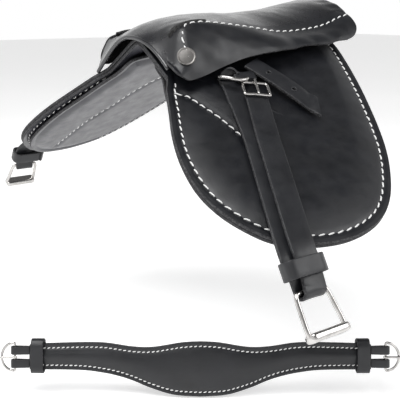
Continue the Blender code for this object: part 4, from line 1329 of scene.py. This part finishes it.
def make_girth():
    u, v, d = girth_grid(230, 44)
    flat = np.stack([u.ravel(), v.ravel()], axis=1)
    ripple = (0.12 * wobble(flat, 30.0, 41) + 0.05 * wobble(flat, 11.0, 42)).reshape(u.shape)
    rise = 1.5 * smooth((d - GIRTH_INSET) / 7.0) - 0.5 * hump(d - GIRTH_INSET, 0.9) + ripple * smooth(d / 4.0)
    # The lining is thinner at its ends, where the keepers slide.
    thinned = 0.9 * smooth((np.abs(u) - GIRTH_HALF + 11.0) / 3.0)
    cover = grid_sheet(girth_point(u, v, 2.2 + rise), girth_point(u, v, 0.2 + 0.0 * u), 0.4)
    under = -1.9 + 0.2 * smooth(d / 3.0) + thinned
    back = grid_sheet(girth_point(u, v, -0.1 + 0.0 * u), girth_point(u, v, under), 0.35)
    on_cover, on_back = surface_of(cover), surface_of(back)
    leather = make_piece("girth_leather", cover, SHEET)
    lining = make_piece("girth_lining_leather", back, LINING_SHEET)
    free = np.zeros(len(cover.array()))
    free[:d.size] = smooth((d.ravel() - GIRTH_INSET - 0.8) / SETTLE_EASE)
    settle(leather, free)
    finish_piece(leather, "girth", "leather", "girth_cover", "girth_padding")
    finish_piece(lining, "girth", "lining", "girth_lining")
    reach = np.linspace(-GIRTH_HALF + 4.0, GIRTH_HALF - 4.0, 300)
    for label, edge in (("upper", GIRTH_TOP(np.abs(reach)) - GIRTH_INSET),
                        ("lower", GIRTH_BOTTOM(np.abs(reach)) + GIRTH_INSET)):
        front = stitch_shape(girth_point(reach, edge, 2.0 + 0.0 * reach), on_cover, GIRTH_FACE, GIRTH_PITCH,
                             2.4, 0.42, lean=0.28)
        rear = stitch_shape(girth_point(reach, edge, -1.9 + 0.0 * reach), on_back, -GIRTH_FACE, GIRTH_PITCH,
                            2.2, 0.36, lean=0.2)
        add_piece("girth_stitches_" + label, front, (THREAD,), "girth", "leather")
        add_piece("girth_back_stitches_" + label, rear, (THREAD,), "girth", "lining")
    for name, end in (("front", -1.0), ("rear", 1.0)):
        make_girth_end(name, end)


CHAPE_ROUTE = ((0.3, 2.3), (5.3, 2.9), (11.5, 3.4), (13.0, 2.9), (13.9, 1.05), (13.0, -0.8), (11.5, -1.3),
               (5.3, -0.8), (0.3, -0.2))


def make_girth_end(name, end):
    """A buckle held by two folded tabs, with its prong between them and a keeper behind."""
    tip = GIRTH_HALF + GIRTH_PIN_REACH + 1.0
    for label, v0 in (("upper", GIRTH_MIDDLE + 5.0), ("lower", GIRTH_MIDDLE - 5.0)):
        route = resample(spline([girth_point(end * (GIRTH_HALF + a), v0, h) for a, h in CHAPE_ROUTE], 8), 0.7)
        _, across, normals = frames_of(route, np.broadcast_to(GIRTH_UP, route.shape))
        chape = strap_shape(route, across, normals, 6.2, 1.2, corner=0.45, crown=0.1)
        which = "%s_%s" % (name, label)
        add_piece("girth_tab_" + which, chape, STRAP, "girth", "leather", "girth_chape_" + which)
    angle = np.linspace(pi / 2.0, -pi / 2.0, 40)
    bow = girth_point(end * (tip - 0.5 + 9.5 * np.cos(angle)), GIRTH_MIDDLE + 10.6 * np.sin(angle),
                      GIRTH_PIN_DEPTH + 0.0 * angle)
    straight = girth_point(end * (tip - 1.0) + np.zeros(12), GIRTH_MIDDLE + np.linspace(-9.8, 9.8, 12),
                           GIRTH_PIN_DEPTH + np.zeros(12))
    loop = resample(np.vstack([straight, bow]), 0.8, closed=True)
    ring = tube(loop, 1.0, True, hint=GIRTH_FACE)
    add_piece("girth_buckle_frame_" + name, ring, (STEEL,), "girth_buckle_" + name, "steel",
              "girth_buckle_" + name)
    reach = np.linspace(-1.6, 13.0, 14)
    prong = girth_point(end * (tip - 1.0 + reach), GIRTH_MIDDLE + 0.0 * reach, 2.9 + 0.02 * reach)
    pin = rounded_bar(prong, 0.8, hint=GIRTH_FACE)
    add_piece("girth_prong_pin_" + name, pin, (STEEL,), "girth_prong_" + name, "steel", "girth_prong_" + name)
    centre = girth_point(end * (GIRTH_HALF - 6.0), GIRTH_MIDDLE, 1.15)
    shape = band_shape(centre, -GIRTH_UP, GIRTH_ALONG, GIRTH_FACE, 11.6, 4.5, 1.5, 9.5)
    add_piece("girth_loop_" + name, shape, STRAP, "girth_keeper_" + name, "leather", "girth_keeper_" + name)


# ---------------------------------------------------------------- build the saddle

def build():
    make_seat()
    for side in SIDE.values():
        make_skirt(side)
        make_flap(side)
        make_panel(side)
        make_billet(side)
        line = StrapLine(side)
        make_stirrup_leather(side, line)
        make_tail(side)
        make_strap_buckle(side)
        make_keeper(side, line)
        make_iron(side, line)
    make_girth()


build()

tree_materials = frame["nodes"]["tree"].data.materials
tree_materials.clear()
tree_materials.append(BOARD)


# ---------------------------------------------------------------- floor, lights and camera

FLOOR_DROP = 0.5
CAMERA_PLACE = vec(342.2, 451.4, 30.4)
CAMERA_AZIMUTH, CAMERA_PITCH = radians(54.0), radians(15.3)
CAMERA_LENS = 63.1


def make_floor():
    mesh = bpy.data.meshes.new("floor")
    half = 6.0
    z = CAD_BOX[0][2] - FLOOR_DROP * MM
    corners = [(-half, -half, z), (half, -half, z), (half, half, z), (-half, half, z)]
    mesh.from_pydata(corners, [], [(0, 1, 2, 3)])
    floor = bpy.data.objects.new("floor", mesh)
    mesh.materials.append(floor_material("pale_floor"))
    bpy.context.scene.collection.objects.link(floor)


def make_world():
    """White all round at the horizon, as a studio cove is, and darker overhead."""
    world = bpy.data.worlds.new("studio")
    world.use_nodes = True
    tree = world.node_tree
    background = tree.nodes["Background"]
    place = tree.nodes.new("ShaderNodeTexCoord")
    split = tree.nodes.new("ShaderNodeSeparateXYZ")
    tree.links.new(place.outputs["Generated"], split.inputs["Vector"])
    shade = remap(tree, split.outputs["Z"], 0.30, 0.70, 1.0, 0.14)
    tree.links.new(colour_ramp(tree, shade, ((0.0, (0.0, 0.0, 0.0)), (1.0, (1.0, 1.0, 1.0)))),
                   background.inputs["Color"])
    background.inputs["Strength"].default_value = 1.0
    bpy.context.scene.world = world


def make_light(name, place, target, size, power):
    data = bpy.data.lights.new(name, "AREA")
    data.shape, data.size, data.energy = "DISK", size, power
    light = bpy.data.objects.new(name, data)
    light.location = place
    light.rotation_euler = (Vector(target) - Vector(place)).to_track_quat("-Z", "Y").to_euler()
    bpy.context.scene.collection.objects.link(light)


def make_camera():
    data = bpy.data.cameras.new("camera")
    data.lens, data.sensor_width = CAMERA_LENS, 36.0
    data.clip_start = 0.01
    camera = bpy.data.objects.new("camera", data)
    camera.location = CAMERA_PLACE * MM
    look = Vector((-cos(CAMERA_AZIMUTH) * cos(CAMERA_PITCH), -sin(CAMERA_AZIMUTH) * cos(CAMERA_PITCH),
                   -sin(CAMERA_PITCH)))
    camera.rotation_euler = look.to_track_quat("-Z", "Y").to_euler()
    bpy.context.scene.collection.objects.link(camera)
    bpy.context.scene.camera = camera


make_floor()
make_world()
make_light("key", (0.9, -0.3, 1.1), (0.0, 0.05, -0.05), 0.7, 7.0)
make_light("fill", (-0.7, 1.0, 0.7), (0.0, 0.05, -0.1), 0.8, 5.0)
make_light("top", (0.7, 0.3, 1.5), (0.1, 0.2, -0.2), 1.4, 22.0)
make_camera()
bpy.context.scene.view_settings.view_transform = "Standard"
